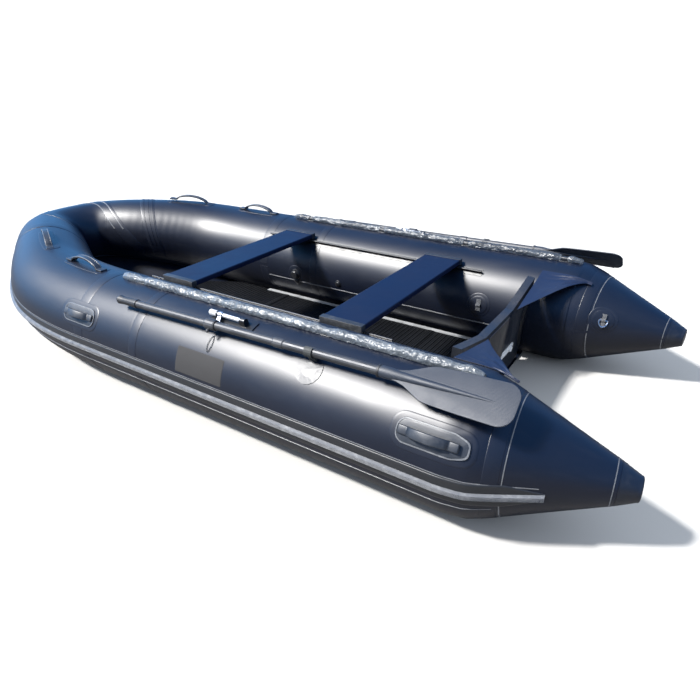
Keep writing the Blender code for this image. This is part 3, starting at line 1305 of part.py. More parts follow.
# Each holder is glued on, so it is one body with its chamber
port_fixtures = []
for share in HOLDER_SHARES:
    x = run_x(share)
    frame = seat(HOLDER_TOP_ANGLE, -EMBED, x)
    pad = round_patch("pad", frame, GRIP_PAD_HALF, GRIP_PAD_THICK + EMBED,
                      TUBE_RADIUS - EMBED, cap_rubber, rings=2, steps=12)
    for vert in pad.data.vertices:
        vert.co.x = x + (vert.co.x - x) * GRIP_PAD_LENGTH / (2 * GRIP_PAD_HALF)
    hump = turned("hump", [
        (0.0, GRIP_HUMP_LENGTH / 2), (GRIP_HUMP_RADIUS * 0.7, GRIP_HUMP_LENGTH / 2),
        (GRIP_HUMP_RADIUS, GRIP_HUMP_LENGTH * 0.3), (GRIP_HUMP_RADIUS, -GRIP_HUMP_LENGTH * 0.3),
        (GRIP_HUMP_RADIUS * 0.7, -GRIP_HUMP_LENGTH / 2), (0.0, -GRIP_HUMP_LENGTH / 2)],
        cap_rubber, seat(HOLDER_TOP_ANGLE, LINE_LEVEL, x) @ ALONG @ HALF_STEP, steps=8)
    body = united("holder_" + str(share), [pad, hump], cap_rubber)
    bore = turned("line_bore", [
        (0.0, GRIP_HUMP_LENGTH), (LINE_RADIUS + LINE_BORE_PLAY, GRIP_HUMP_LENGTH),
        (LINE_RADIUS + LINE_BORE_PLAY, -GRIP_HUMP_LENGTH), (0.0, -GRIP_HUMP_LENGTH)], cap_rubber,
        seat(HOLDER_TOP_ANGLE, LINE_LEVEL, x) @ ALONG @ HALF_STEP, steps=8, coll=CUTTERS)
    cut(body, bore)
    port_fixtures.append(to_mesh(body, cap_rubber))


def bow_place(share, along, across, level):
    """Point on the bow tube: share of the path, then distances along, across and out."""
    points, radii = bow_points(BOW_FINE_STEPS)
    steps = [0.0] + [(b - a).length for a, b in zip(points, points[1:])]
    lengths = np.cumsum(steps)
    at = float(np.interp(share, np.linspace(0.0, 1.0, len(points)), lengths)) + along
    i = max(0, min(len(points) - 2, int(np.searchsorted(lengths, at)) - 1))
    part = (at - lengths[i]) / (lengths[i + 1] - lengths[i])
    place = points[i].lerp(points[i + 1], part)
    radius = radii[i] + (radii[i + 1] - radii[i]) * part
    travel = (points[i + 1] - points[i]).normalized()
    out = travel.cross(UP).normalized() * -1
    rise = travel.cross(out).normalized()
    turn = math.radians(90) - across / radius
    return place + (out * math.cos(turn) + rise * math.sin(turn)) * (radius + level)


def strap_handle(name, frame, length, width, height, bar, foot, mat):
    """Moulded strap handle: two feet and a raised bar, with a finger gap below."""
    half = length / 2
    rise = height - bar
    slope = foot + rise * 0.9
    upper = [
        (-half, bar * 0.55), (-half + bar, bar), (-half + foot, bar * 1.25),
        (-half + slope, height), (half - slope, height), (half - foot, bar * 1.25),
        (half - bar, bar), (half, bar * 0.55),
    ]
    lower = [
        (half, 0.0), (half - foot, 0.0), (half - slope - bar * 0.3, rise),
        (-half + slope + bar * 0.3, rise), (-half + foot, 0.0), (-half, 0.0),
    ]
    stand = Matrix.Rotation(math.radians(90), 4, "X")
    strap = plate(name, upper + lower, width, mat, frame @ stand)
    return to_mesh(bevel(strap, bar * 0.22, 1), mat)


handle_rubber = material("handle_rubber", RUBBER, 0.35)
bow_handles = []
for label, share in zip(("aft", "fore"), BOW_HANDLE_TURN_SHARES):
    bow_handles.append(strap_handle("bow_handle_port_" + label, Matrix(), BOW_HANDLE_LENGTH,
                                    BOW_HANDLE_WIDTH, BOW_HANDLE_HEIGHT, BOW_HANDLE_BAR,
                                    BOW_HANDLE_FOOT, handle_rubber))
    for vert in bow_handles[-1].data.vertices:
        along, across, level = vert.co
        vert.co = bow_place(share, along, across, level + BOW_HANDLE_CLEAR)
for handle in bow_handles:
    mirrored(handle, handle.name.replace("port", "starboard"), handle_rubber)

# Carry handles on the outer sides, on oval pads
for label, share in zip(("aft", "fore"), SIDE_HANDLE_SHARES):
    x = run_x(share)
    frame = seat(SIDE_HANDLE_ANGLE, GAP * 2, x)
    pad = round_patch("pad", frame, SIDE_PAD_HALF, SIDE_PAD_THICK, TUBE_RADIUS + GAP * 2,
                      handle_rubber, rings=2, steps=16)
    for vert in pad.data.vertices:
        vert.co.x = x + (vert.co.x - x) * SIDE_HANDLE_LENGTH / (2 * SIDE_PAD_HALF)
    strap = strap_handle("strap", seat(SIDE_HANDLE_ANGLE, SIDE_PAD_THICK / 2, x),
                         SIDE_HANDLE_LENGTH * 0.8, SIDE_PAD_HALF * 0.62, SIDE_HANDLE_HEIGHT,
                         SIDE_HANDLE_BAR, SIDE_HANDLE_LENGTH * 0.14, handle_rubber)
    body = united("side_handle_port_" + label, [pad, strap], handle_rubber)
    mirrored(body, "side_handle_starboard_" + label, handle_rubber)


def inner_seat(x, angle, side):
    """Frame on the inner side of a side tube, Z out of the surface."""
    return seat(angle, 0.0, x, side)


def bow_inner_frame():
    """Frame on the inner side of the bow tube, just ahead of the starboard joint."""
    points, radii = bow_points(101)
    count = len(points)
    i = count - 1 - int(VALVE_BOW_SHARE * count)
    along = directions(points)[i]
    inward = UP.cross(along).normalized()
    if inward.y < 0:
        inward = -inward
    up = inward.cross(Vector((1, 0, 0))).normalized()
    if up.z < 0:
        up = -up
    frame = Matrix((up.cross(inward), up, inward)).transposed().to_4x4()
    frame.translation = points[i] + inward * radii[i]
    return frame


valve_grey = material("valve_grey", (0.05, 0.05, 0.055), 0.4)
valve_red = material("valve_red", (0.35, 0.02, 0.02), 0.4)
valve_sink = TUBE_RADIUS - math.sqrt(TUBE_RADIUS ** 2 - VALVE_RADIUS ** 2) + EMBED
body_profile = [
    (0.0, VALVE_BODY_HEIGHT - VALVE_BORE_DEPTH), (VALVE_BORE, VALVE_BODY_HEIGHT - VALVE_BORE_DEPTH),
    (VALVE_BORE, VALVE_BODY_HEIGHT), (VALVE_RADIUS * 0.86, VALVE_BODY_HEIGHT),
    (VALVE_RADIUS, VALVE_BODY_HEIGHT * 0.45), (VALVE_RADIUS, -valve_sink), (0.0, -valve_sink),
]
cap_low = VALVE_BODY_HEIGHT + GAP
valve_cap_profile = [
    (0.0, cap_low + VALVE_CAP_HEIGHT), (VALVE_CAP_RADIUS * 0.9, cap_low + VALVE_CAP_HEIGHT),
    (VALVE_CAP_RADIUS, cap_low + VALVE_CAP_HEIGHT * 0.8), (VALVE_CAP_RADIUS, cap_low),
    (VALVE_PLUG_RADIUS, cap_low), (VALVE_PLUG_RADIUS, cap_low - VALVE_PLUG_LENGTH),
    (0.0, cap_low - VALVE_PLUG_LENGTH),
]
bow_fixtures = []
seats = (
    ("port", inner_seat(run_x(VALVE_SHARES[0]), VALVE_ANGLE, 1.0), valve_grey),
    ("starboard", inner_seat(run_x(VALVE_SHARES[1]), VALVE_ANGLE, -1.0), valve_grey),
    ("bow", bow_inner_frame(), valve_red),
)
for label, frame, look in seats:
    if frame.to_3x3().determinant() < 0:
        frame = frame @ Matrix.Diagonal((-1, 1, 1, 1))
    lid = turned("valve_cap_" + label, valve_cap_profile, look, frame)
    hang(lid, pivot("valve_axis_" + label, frame.translation))
    if label != "starboard":
        body = turned("valve_" + label, body_profile, valve_grey, frame)
        (bow_fixtures if label == "bow" else port_fixtures).append(body)


def ring_mount(name, frame, bend):
    """Round patch with a loop of webbing that holds a ring's straight side."""
    if frame.to_3x3().determinant() < 0:
        frame = frame @ Matrix.Diagonal((-1, 1, 1, 1))
    patch = round_patch(name + "_patch", frame @ Matrix.Translation((0, 0, -EMBED)),
                        PATCH_RADIUS, PATCH_THICK + EMBED, bend - EMBED, cap_rubber)
    hole = RING_WIRE + RING_PLAY
    centre = PATCH_THICK + GAP * 2 + hole
    outer = hole + LOOP_WALL
    points = [(-outer * 1.6, PATCH_THICK / 2)]
    for k in range(9):
        a = math.pi - math.pi * k / 8
        points.append((outer * math.cos(a), centre + outer * math.sin(a)))
    points.append((outer * 1.6, PATCH_THICK / 2))
    stand = Matrix(((0, 0, 1, 0), (1, 0, 0, 0), (0, 1, 0, 0), (0, 0, 0, 1)))
    loop = plate(name + "_loop", points, LOOP_WIDTH, cap_rubber, frame @ stand)
    body = united(name, [patch, loop], cap_rubber)
    turn = frame @ Matrix.Translation((0, 0, centre)) @ ALONG
    bore = turned(name + "_bore", [
        (0.0, LOOP_WIDTH), (hole, LOOP_WIDTH), (hole, -LOOP_WIDTH), (0.0, -LOOP_WIDTH)],
        cap_rubber, turn, steps=10, coll=CUTTERS)
    cut(body, bore)
    return to_mesh(body, cap_rubber), frame @ Matrix.Translation((0, 0, centre))


def steel_ring(name, frame, lean):
    """D ring whose straight side runs along the frame's X, hanging along its Y."""
    half = LOOP_WIDTH / 2 + RING_WIRE * 2
    points = [Vector((-half * 0.3, 0, 0)), Vector((-half, 0, 0))]
    turn = Matrix.Rotation(math.radians(lean), 3, "X")
    steps = 9
    for k in range(1, steps):
        a = math.pi - math.pi * k / steps
        points.append(Vector((half * 1.12 * math.cos(a), RING_RADIUS * 1.5 * math.sin(a), 0)))
    points += [Vector((half, 0, 0)), Vector((half * 0.3, 0, 0))]
    placed = [frame @ (turn @ p) for p in points]
    data = sweep(name, placed, [RING_WIRE] * len(placed), steel, 1)
    data.data.splines[0].use_cyclic_u = True
    return to_mesh(data, steel)


def stern_ring_frame(side):
    """Frame on the inner side of the port or starboard cone."""
    share = STERN_RING_SHARE
    centre = cone_point(share)
    radius = cone_radius(share)
    ahead = cone_point(share + 0.1)
    grow = (cone_radius(share + 0.1) - radius) / (ahead - centre).length
    along = (ahead - centre).normalized()
    a = math.radians(STERN_RING_ANGLE)
    out = Vector((0, math.cos(a), math.sin(a)))
    out = (out - along * out.dot(along)).normalized()
    normal_dir = (out - along * grow).normalized()
    slope = (along + out * grow).normalized()
    across = normal_dir.cross(slope).normalized()
    frame = Matrix((slope, across, normal_dir)).transposed().to_4x4()
    frame.translation = centre + out * radius
    if side < 0:
        return Matrix.Diagonal((1, -1, 1, 1)) @ frame, radius
    return frame, radius


def bow_ring_frame():
    """Frame under the bow's front, X across the boat."""
    points, radii = bow_points(BOW_STATIONS)
    i = len(points) // 2
    a = math.radians(BOW_RING_ANGLE)
    out = Vector((math.cos(a), 0, math.sin(a)))
    across = Vector((0, -1, 0))
    frame = Matrix((across, out.cross(across), out)).transposed().to_4x4()
    frame.translation = points[i] + out * radii[i]
    return frame, radii[i]


frame, radius = bow_ring_frame()
body, turn_frame = ring_mount("bow_mount", frame, radius)
bow_fixtures.append(body)
ring_bow = steel_ring("bow_ring", turn_frame, -BOW_RING_ANGLE)
hang(ring_bow, pivot("bow_ring_axis", turn_frame.translation))
frame, radius = stern_ring_frame(1.0)
body, turn_frame = ring_mount("stern_mount", frame, radius)
port_fixtures.append(body)
ring_port = steel_ring("stern_ring_port", turn_frame, FULL_TURN / 2)
ring_star = mirrored(ring_port, "stern_ring_starboard", steel)
place = turn_frame.translation
hang(ring_port, pivot("stern_ring_axis_port", place))
hang(ring_star, pivot("stern_ring_axis_starboard", (place.x, -place.y, place.z)))

# The glued fixtures become one body with their chambers
port_tube = united("chamber_port", [port_tube] + port_fixtures, fabric)
mirrored(port_tube, "chamber_starboard", fabric)
united("chamber_bow", [bow_tube] + bow_fixtures, fabric)

for obj in BOAT.objects:
    if obj.type == "MESH":
        obj.data.shade_smooth()
        obj.data.set_sharp_from_angle(angle=math.radians(35))
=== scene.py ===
"""Dressed scene of an inflatable boat with sliding benches and two stowed oars.

+X points to the bow, +Y to port and +Z up, in metres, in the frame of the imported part.
Each sub-assembly is a class that holds its sizes, builds its pieces and dresses them.
"""
from __future__ import annotations

import logging
from dataclasses import dataclass, field, replace
from enum import Enum
from math import atan2, ceil, copysign, cos, degrees, hypot, pi, radians, sin
from typing import Callable, ClassVar, Sequence

import bmesh
import bpy
import numpy as np
from mathutils import Matrix, Vector, noise


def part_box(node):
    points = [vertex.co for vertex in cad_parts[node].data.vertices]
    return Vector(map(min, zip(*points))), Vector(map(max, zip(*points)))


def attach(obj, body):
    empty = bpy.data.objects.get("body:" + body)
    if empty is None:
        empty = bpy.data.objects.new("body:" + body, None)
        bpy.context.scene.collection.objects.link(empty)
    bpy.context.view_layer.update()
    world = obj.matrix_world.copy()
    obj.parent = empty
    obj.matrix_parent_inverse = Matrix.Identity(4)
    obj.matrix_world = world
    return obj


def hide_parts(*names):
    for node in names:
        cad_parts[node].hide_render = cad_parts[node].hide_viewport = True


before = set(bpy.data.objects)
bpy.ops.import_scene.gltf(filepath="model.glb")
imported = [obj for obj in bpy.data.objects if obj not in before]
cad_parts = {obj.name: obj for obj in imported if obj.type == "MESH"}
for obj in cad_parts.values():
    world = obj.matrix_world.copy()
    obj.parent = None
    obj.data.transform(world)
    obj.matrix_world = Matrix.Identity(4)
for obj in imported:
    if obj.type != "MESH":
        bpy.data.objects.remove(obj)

LOG = logging.getLogger("boat")
UP = Vector((0.0, 0.0, 1.0))
Piece = bpy.types.Object
Socket = bpy.types.NodeSocket
Array = np.ndarray
Pair = tuple[float, float]
Triple = tuple[float, float, float]
Colour = Triple


class Side(Enum):
    """Side of the boat, as the sign of its Y."""

    PORT = 1.0
    STARBOARD = -1.0

    @property
    def label(self) -> str:
        """Name of the side as the part's nodes use it."""
        return self.name.lower()


class Where(Enum):
    """Coordinates that a pattern is laid on."""

    SOLID = "Object"
    SURFACE = "UV"


# Finishes


def feed(tree: bpy.types.NodeTree, socket: Socket, value: object) -> None:
    """Link a socket to the one that gives its value, or set its value."""
    if isinstance(value, Socket):
        tree.links.new(value, socket)
    else:
        socket.default_value = value


def add_node(tree: bpy.types.NodeTree, kind: str, inputs: dict[str | int, object] | None = None,
             **settings: object) -> bpy.types.Node:
    """Add a node.

    Args:
        tree: node tree that it goes into.
        kind: Blender's name of the node type, without its ShaderNode prefix.
        inputs: sockets to link or to set, by name or index.
        settings: properties to set on the node.

    Returns:
        The new node.
    """
    made = tree.nodes.new("ShaderNode" + kind)
    for key, value in settings.items():
        setattr(made, key, value)
    for key, value in (inputs or {}).items():
        feed(tree, made.inputs[key], value)
    return made


def mixed_colour(tree: bpy.types.NodeTree, share: Socket, first: object, second: object
                 ) -> Socket:
    """Add a node that mixes two colours.

    Args:
        tree: node tree that it goes into.
        share: socket that gives the share of the second colour.
        first: colour, or the socket that gives it.
        second: colour, or the socket that gives it.

    Returns:
        The socket of the mixed colour.
    """
    made = add_node(tree, "Mix", data_type="RGBA")
    tree.links.new(share, made.inputs["Factor"])
    slots = [socket for socket in made.inputs if socket.type == "RGBA"]
    for socket, value in zip(slots, (first, second)):
        feed(tree, socket, value if isinstance(value, Socket) else (*value, 1.0))
    return [socket for socket in made.outputs if socket.type == "RGBA"][0]


class Shader:
    """Node graph of one material, with short calls for the nodes that the finishes use."""

    def __init__(self, name: str, where: Where = Where.SOLID) -> None:
        """Start a material with a Principled shader.

        Args:
            name: name of the material.
            where: coordinates that its patterns are laid on.
        """
        self.material = bpy.data.materials.new(name)
        self.material.use_nodes = True
        self.tree = self.material.node_tree
        self.surface = self.tree.nodes["Principled BSDF"]
        self.coords = self.tree.nodes.new("ShaderNodeTexCoord").outputs[where.value]

    def node(self, kind: str, inputs: dict[str | int, object] | None = None,
             **settings: object) -> bpy.types.Node:
        """Add a node to the material, as add_node() does."""
        return add_node(self.tree, kind, inputs, **settings)

    def set(self, **values: object) -> None:
        """Set or link sockets of the Principled shader, with underscores for spaces.

        Args:
            values: socket name and its value or the socket that feeds it.
        """
        for key, value in values.items():
            feed(self.tree, self.surface.inputs[key.replace("_", " ")], value)

    def mapped(self, scale: Sequence[float], turn: Sequence[float] = (0, 0, 0),
               shift: Sequence[float] = (0, 0, 0)) -> Socket:
        """Coordinates after a scale, a turn in degrees and a shift."""
        return self.node("Mapping", {
            "Vector": self.coords, "Scale": tuple(scale), "Location": tuple(shift),
            "Rotation": tuple(radians(a) for a in turn)}).outputs[0]

    def noise(self, scale: float, detail: float = 3.0, rough: float = 0.55,
              stretch: Sequence[float] = (1, 1, 1)) -> Socket:
        """Noise at a scale in cells per metre, stretched along each axis."""
        return self.node("TexNoise", {
            "Vector": self.mapped(stretch), "Scale": scale, "Detail": detail,
            "Roughness": rough}).outputs["Fac"]

    def wave(self, scale: float, axis: str = "X", turn: Sequence[float] = (0, 0, 0),
             distort: float = 0.0) -> Socket:
        """Bands across one axis, in bands per metre."""
        return self.node("TexWave", {
            "Vector": self.mapped((1, 1, 1), turn), "Scale": scale * pi / 10,
            "Distortion": distort, "Detail": 2.0}, bands_direction=axis).outputs["Fac"]

    def cells(self, scale: float, stretch: Sequence[float] = (1, 1, 1)) -> Socket:
        """Distance pattern of round cells."""
        return self.node("TexVoronoi", {
            "Vector": self.mapped(stretch), "Scale": scale}).outputs["Distance"]

    def maths(self, kind: str, a: object, b: object = 0.0, c: object = 0.0) -> Socket:
        """One step of arithmetic."""
        return self.node("Math", {0: a, 1: b, 2: c}, operation=kind).outputs[0]

    def spread(self, value: Socket, low: float, high: float,
               to_low: float = 0.0, to_high: float = 1.0) -> Socket:
        """A value's range moved onto another one, with its ends held."""
        return self.node("MapRange", {
            "Value": value, "From Min": low, "From Max": high, "To Min": to_low,
            "To Max": to_high}).outputs["Result"]

    def blend(self, share: Socket, first: object, second: object) -> Socket:
        """Colour between two, by a share."""
        return mixed_colour(self.tree, share, first, second)

    def relief(self, height: Socket, depth: float, strength: float = 1.0,
               under: Socket | None = None) -> Socket:
        """Bump from a height pattern.

        Args:
            height: the pattern, from 0 to 1.
            depth: its height in metres.
            strength: share of it that shows.
            under: normal that it is laid over.

        Returns:
            The normal.
        """
        inputs: dict[str | int, object] = {
            "Height": height, "Distance": depth, "Strength": strength}
        if under is not None:
            inputs["Normal"] = under
        return self.node("Bump", inputs).outputs["Normal"]


@dataclass(frozen=True)
class Finish:
    """Look of a surface, which paint() lays on a new shader."""

    name: str
    where: ClassVar[Where] = Where.SOLID

    def paint(self, s: Shader) -> None:
        """Lay the look on a shader."""
        raise NotImplementedError

    def make(self) -> bpy.types.Material:
        """Build the material.

        Returns:
            The material.
        """
        shader = Shader(self.name, self.where)
        self.paint(shader)
        return shader.material


@dataclass(frozen=True)
class CoatedFabric(Finish):
    """Glossy coated fabric of the air tubes, with a fine weave, rubbed places and soft folds."""

    name: str = "coated_fabric"
    base: Colour = (0.0006, 0.0024, 0.0090)
    worn: Colour = (0.0020, 0.0050, 0.0145)
    dust: Colour = (0.030, 0.035, 0.045)
    gloss: float = 0.385
    threads: float = 620.0
    crease: float = 0.0022
    where: ClassVar[Where] = Where.SURFACE

    def paint(self, s: Shader) -> None:
        """Lay the look on a shader."""
        patches = s.noise(1.7, 5.0, 0.6)
        smear = s.noise(9.0, 3.0, 0.6, (0.4, 1.0, 1.0))
        weft = s.wave(self.threads, "X")
        warp = s.wave(self.threads, "Y")
        cloth = s.maths("MULTIPLY", weft, warp)
        folds = s.noise(3.0, 1.0, 0.3, (0.5, 1.8, 1.0))
        colour = s.blend(s.spread(patches, 0.35, 0.75), self.base, self.worn)
        dusty = s.maths("MULTIPLY", s.spread(smear, 0.52, 0.80), 0.10)
        s.set(Base_Color=s.blend(dusty, colour, self.dust),
              Roughness=s.spread(smear, 0.25, 0.8, self.gloss, self.gloss + 0.07),
              Normal=s.relief(cloth, 0.00005, 0.25, s.relief(folds, self.crease, 0.45)))
        s.set(Specular_IOR_Level=0.46)


@dataclass(frozen=True)
class MouldedRubber(Finish):
    """Moulded rubber or plastic with a fine grain and rubbed edges."""

    name: str = "moulded_rubber"
    base: Colour = (0.005, 0.005, 0.006)
    rubbed: Colour = (0.022, 0.023, 0.026)
    gloss: float = 0.45
    grain: float = 700.0

    def paint(self, s: Shader) -> None:
        """Lay the look on a shader."""
        rub = s.noise(38.0, 4.0, 0.6)
        grains = s.noise(self.grain, 2.0, 0.5)
        s.set(Base_Color=s.blend(s.spread(rub, 0.50, 0.85), self.base, self.rubbed),
              Roughness=s.spread(rub, 0.3, 0.8, self.gloss - 0.08, self.gloss + 0.12),
              Normal=s.relief(grains, 0.0003, 0.4))


@dataclass(frozen=True)
class BrushedMetal(Finish):
    """Drawn or brushed metal with lines along one axis and dull spots."""

    name: str = "brushed_metal"
    base: Colour = (0.55, 0.56, 0.58)
    dull: Colour = (0.30, 0.31, 0.33)
    gloss: float = 0.30
    metal: float = 1.0
    lines: Triple = (0.04, 1.0, 1.0)

    def paint(self, s: Shader) -> None:
        """Lay the look on a shader."""
        streak = s.noise(420.0, 2.0, 0.5, self.lines)
        spots = s.noise(14.0, 4.0, 0.6)
        s.set(Base_Color=s.blend(s.spread(spots, 0.45, 0.8), self.base, self.dull),
              Roughness=s.spread(spots, 0.3, 0.8, self.gloss, self.gloss + 0.2),
              Normal=s.relief(streak, 0.0002, 0.25))
        s.set(Metallic=self.metal)


@dataclass(frozen=True)
class TwoTone(Finish):
    """Two looks on one fitting, told apart by the distance from a line along the boat."""

    line: Pair
    reach: float
    inner: Colour
    outer: Colour
    inner_metal: float = 0.0
    outer_metal: float = 0.0
    ends: Pair = (-9.0, 9.0)
    gloss: float = 0.32
    outer_gloss: float = 0.32

    def paint(self, s: Shader) -> None:
        """Lay the look on a shader."""
        flipped = s.node("VectorMath", {0: s.coords}, operation="ABSOLUTE").outputs[0]
        offset = s.node("VectorMath", {0: flipped, 1: (0.0, *self.line)},
                        operation="SUBTRACT").outputs[0]
        flat = s.node("VectorMath", {0: offset, 1: (0.0, 1.0, 1.0)},
                      operation="MULTIPLY").outputs[0]
        away = s.node("VectorMath", {0: flat}, operation="LENGTH").outputs["Value"]
        ahead = s.node("SeparateXYZ", {0: s.coords}).outputs["X"]
        near = s.spread(away, self.reach, self.reach + 0.0004, 1.0, 0.0)
        near = s.maths("MULTIPLY", near, s.maths("GREATER_THAN", ahead, self.ends[0]))
        near = s.maths("MULTIPLY", near, s.maths("LESS_THAN", ahead, self.ends[1]))
        rub = s.noise(60.0, 4.0, 0.6)
        grain = s.noise(650.0, 2.0, 0.5, (0.3, 1.0, 1.0))
        worn = s.maths("MULTIPLY", s.spread(rub, 0.50, 0.80), 0.5)
        tone = s.blend(near, self.outer, self.inner)
        s.set(Base_Color=s.blend(worn, tone, tuple(
            1.4 * a + 0.004 for a in self.outer)),
              Metallic=s.spread(near, 0.0, 1.0, self.outer_metal, self.inner_metal),
              Roughness=s.maths("ADD", s.spread(near, 0.0, 1.0, self.outer_gloss, self.gloss),
                                s.spread(rub, 0.3, 0.8, 0.0, 0.10)),
              Normal=s.relief(grain, 0.0002, 0.3))


@dataclass(frozen=True)
class RibbedBoard(Finish):
    """Dark floor board with trodden ribs and grit in the grooves."""

    name: str = "ribbed_board"
    base: Colour = (0.0015, 0.0018, 0.0024)
    trodden: Colour = (0.0075, 0.0085, 0.0105)
    ribs: float = 82.0

    def paint(self, s: Shader) -> None:
        """Lay the look on a shader."""
        fine = s.wave(self.ribs, "X")
        tread = s.noise(5.0, 5.0, 0.65)
        grit = s.noise(130.0, 3.0, 0.7, (0.25, 1.0, 1.0))
        high = s.maths("MULTIPLY", s.spread(fine, 0.35, 0.85), s.spread(tread, 0.3, 0.7))
        s.set(Base_Color=s.blend(high, self.base, self.trodden),
              Roughness=s.spread(grit, 0.3, 0.75, 0.50, 0.70),
              Normal=s.relief(fine, 0.0025, 0.8, s.relief(grit, 0.0004, 0.4)))
        s.set(Specular_IOR_Level=0.15)


@dataclass(frozen=True)
class PaintedPanel(Finish):
    """Satin paint on metal or board, with orange peel, scuffs and dust."""

    name: str = "painted_panel"
    base: Colour = (0.0010, 0.0052, 0.0240)
    scuffed: Colour = (0.0045, 0.0120, 0.0380)
    gloss: float = 0.46
    along: Triple = (1.0, 0.12, 1.0)

    def paint(self, s: Shader) -> None:
        """Lay the look on a shader."""
        peel = s.noise(260.0, 1.0, 0.3)
        scratches = s.noise(60.0, 5.0, 0.8, self.along)
        haze = s.noise(3.0, 4.0, 0.6)
        marks = s.maths("MULTIPLY", s.spread(scratches, 0.60, 0.72), 0.45)
        tone = s.blend(s.maths("MULTIPLY", s.spread(haze, 0.35, 0.75), 0.35), self.base,
                       self.scuffed)
        s.set(Base_Color=s.blend(marks, tone, self.scuffed),
              Roughness=s.spread(haze, 0.3, 0.7, self.gloss - 0.06, self.gloss + 0.1),
              Normal=s.relief(peel, 0.0002, 0.25, s.relief(scratches, 0.0002, 0.2)))
        s.set(Specular_IOR_Level=0.22)


@dataclass(frozen=True)
class StainedBoard(Finish):
    """Varnished plywood under dark paint, with grain, streaks and water marks."""

    name: str = "stained_board"
    base: Colour = (0.012, 0.014, 0.019)
    streak: Colour = (0.048, 0.046, 0.046)
    gloss: float = 0.44
    grain: Triple = (1.0, 1.0, 0.06)

    def paint(self, s: Shader) -> None:
        """Lay the look on a shader."""
        lines = s.noise(90.0, 5.0, 0.65, self.grain)
        marks = s.noise(9.0, 4.0, 0.6, self.grain)
        share = s.maths("MULTIPLY", s.spread(lines, 0.40, 0.72), s.spread(marks, 0.25, 0.8))
        s.set(Base_Color=s.blend(share, self.base, self.streak),
              Roughness=s.spread(marks, 0.3, 0.7, self.gloss - 0.1, self.gloss + 0.15),
              Normal=s.relief(lines, 0.0004, 0.35))


@dataclass(frozen=True)
class GrainedBlade(Finish):
    """Moulded blade plastic with a fine slanting grid and rubbed edges."""

    name: str = "grained_blade"
    base: Colour = (0.012, 0.017, 0.027)
    rubbed: Colour = (0.040, 0.050, 0.068)
    lines: float = 330.0

    def paint(self, s: Shader) -> None:
        """Lay the look on a shader."""
        first = s.wave(self.lines, "X", (0, 0, 38))
        second = s.wave(self.lines, "X", (0, 0, -38))
        grid = s.maths("MULTIPLY", first, second)
        rub = s.noise(16.0, 5.0, 0.65)
        share = s.maths("MULTIPLY", s.spread(grid, 0.2, 0.9), s.spread(rub, 0.30, 0.75))
        s.set(Base_Color=s.blend(share, self.base, self.rubbed),
              Roughness=s.spread(rub, 0.3, 0.75, 0.46, 0.62),
              Normal=s.relief(grid, 0.0005, 0.6))


@dataclass(frozen=True)
class LaidRope(Finish):
    """Braided rope with strands that wind round it."""

    name: str = "laid_rope"
    base: Colour = (0.010, 0.012, 0.018)
    worn: Colour = (0.07, 0.075, 0.085)
    strands: float = 190.0
    where: ClassVar[Where] = Where.SURFACE

    def paint(self, s: Shader) -> None:
        """Lay the look on a shader."""
        left = s.wave(self.strands, "X", (0, 0, 42))
        right = s.wave(self.strands, "X", (0, 0, -42))
        braid = s.maths("MAXIMUM", left, right)
        fuzz = s.noise(500.0, 2.0, 0.6)
        s.set(Base_Color=s.blend(s.spread(braid, 0.3, 0.95), self.base, self.worn),
              Roughness=s.spread(fuzz, 0.3, 0.7, 0.7, 0.9),
              Normal=s.relief(braid, 0.0012, 0.8, s.relief(fuzz, 0.0003, 0.4)))
        s.set(Sheen_Weight=0.3, Sheen_Roughness=0.5)


@dataclass(frozen=True)
class ClearFilm(Finish):
    """Thin clear packing film, paler in uneven patches, with a painted highlight along the roll's
    top.
    """

    name: str = "clear_film"
    low: Colour = (0.040, 0.050, 0.062)
    high: Colour = (0.175, 0.195, 0.215)
    bubbles: float = 150.0
    girth: float = 0.112
    thinnest: float = 0.62
    windows: tuple[float, ...] = ()
    where: ClassVar[Where] = Where.SURFACE

    def paint(self, s: Shader) -> None:
        """Lay the look on a shader."""
        crinkle = s.noise(46.0, 4.0, 0.65, (0.35, 1.0, 1.0))
        dots = s.cells(self.bubbles)
        veil = s.noise(9.0, 4.0, 0.7, (0.5, 1.0, 1.0))
        around = s.node("SeparateXYZ", {0: s.coords}).outputs[1]
        # The band along the roll's top is painted paler: a painted highlight.
        upper = s.spread(s.maths("ABSOLUTE", s.maths("SUBTRACT", around, self.girth / 2)),
                         0.022, 0.036, 1.0, 0.0)
        pale = s.maths("MULTIPLY", s.spread(veil, 0.30, 0.60, 0.35, 1.0),
                       s.spread(upper, 0.0, 1.0, 0.35, 1.0))
        pale = s.maths("MULTIPLY", pale, s.spread(dots, 0.15, 0.55, 1.0, 0.6))
        cover = s.spread(veil, 0.30, 0.62, self.thinnest, 0.97)
        run = s.node("SeparateXYZ", {0: s.coords}).outputs[0]
        for place in self.windows:
            gap = s.maths("ABSOLUTE", s.maths("SUBTRACT", run, place))
            cover = s.maths("MULTIPLY", cover, s.spread(gap, 0.013, 0.019, 0.25, 1.0))
            pale = s.maths("ADD", pale, s.maths(
                "MULTIPLY", s.spread(gap, 0.017, 0.021), s.spread(gap, 0.021, 0.028, 0.6, 0.0)))
        s.set(Base_Color=s.blend(pale, self.low, self.high),
              Roughness=s.spread(crinkle, 0.3, 0.7, 0.30, 0.46), Alpha=cover,
              Normal=s.relief(crinkle, 0.002, 0.4, s.relief(dots, 0.002, 0.4)))
        s.set(Specular_IOR_Level=0.45)


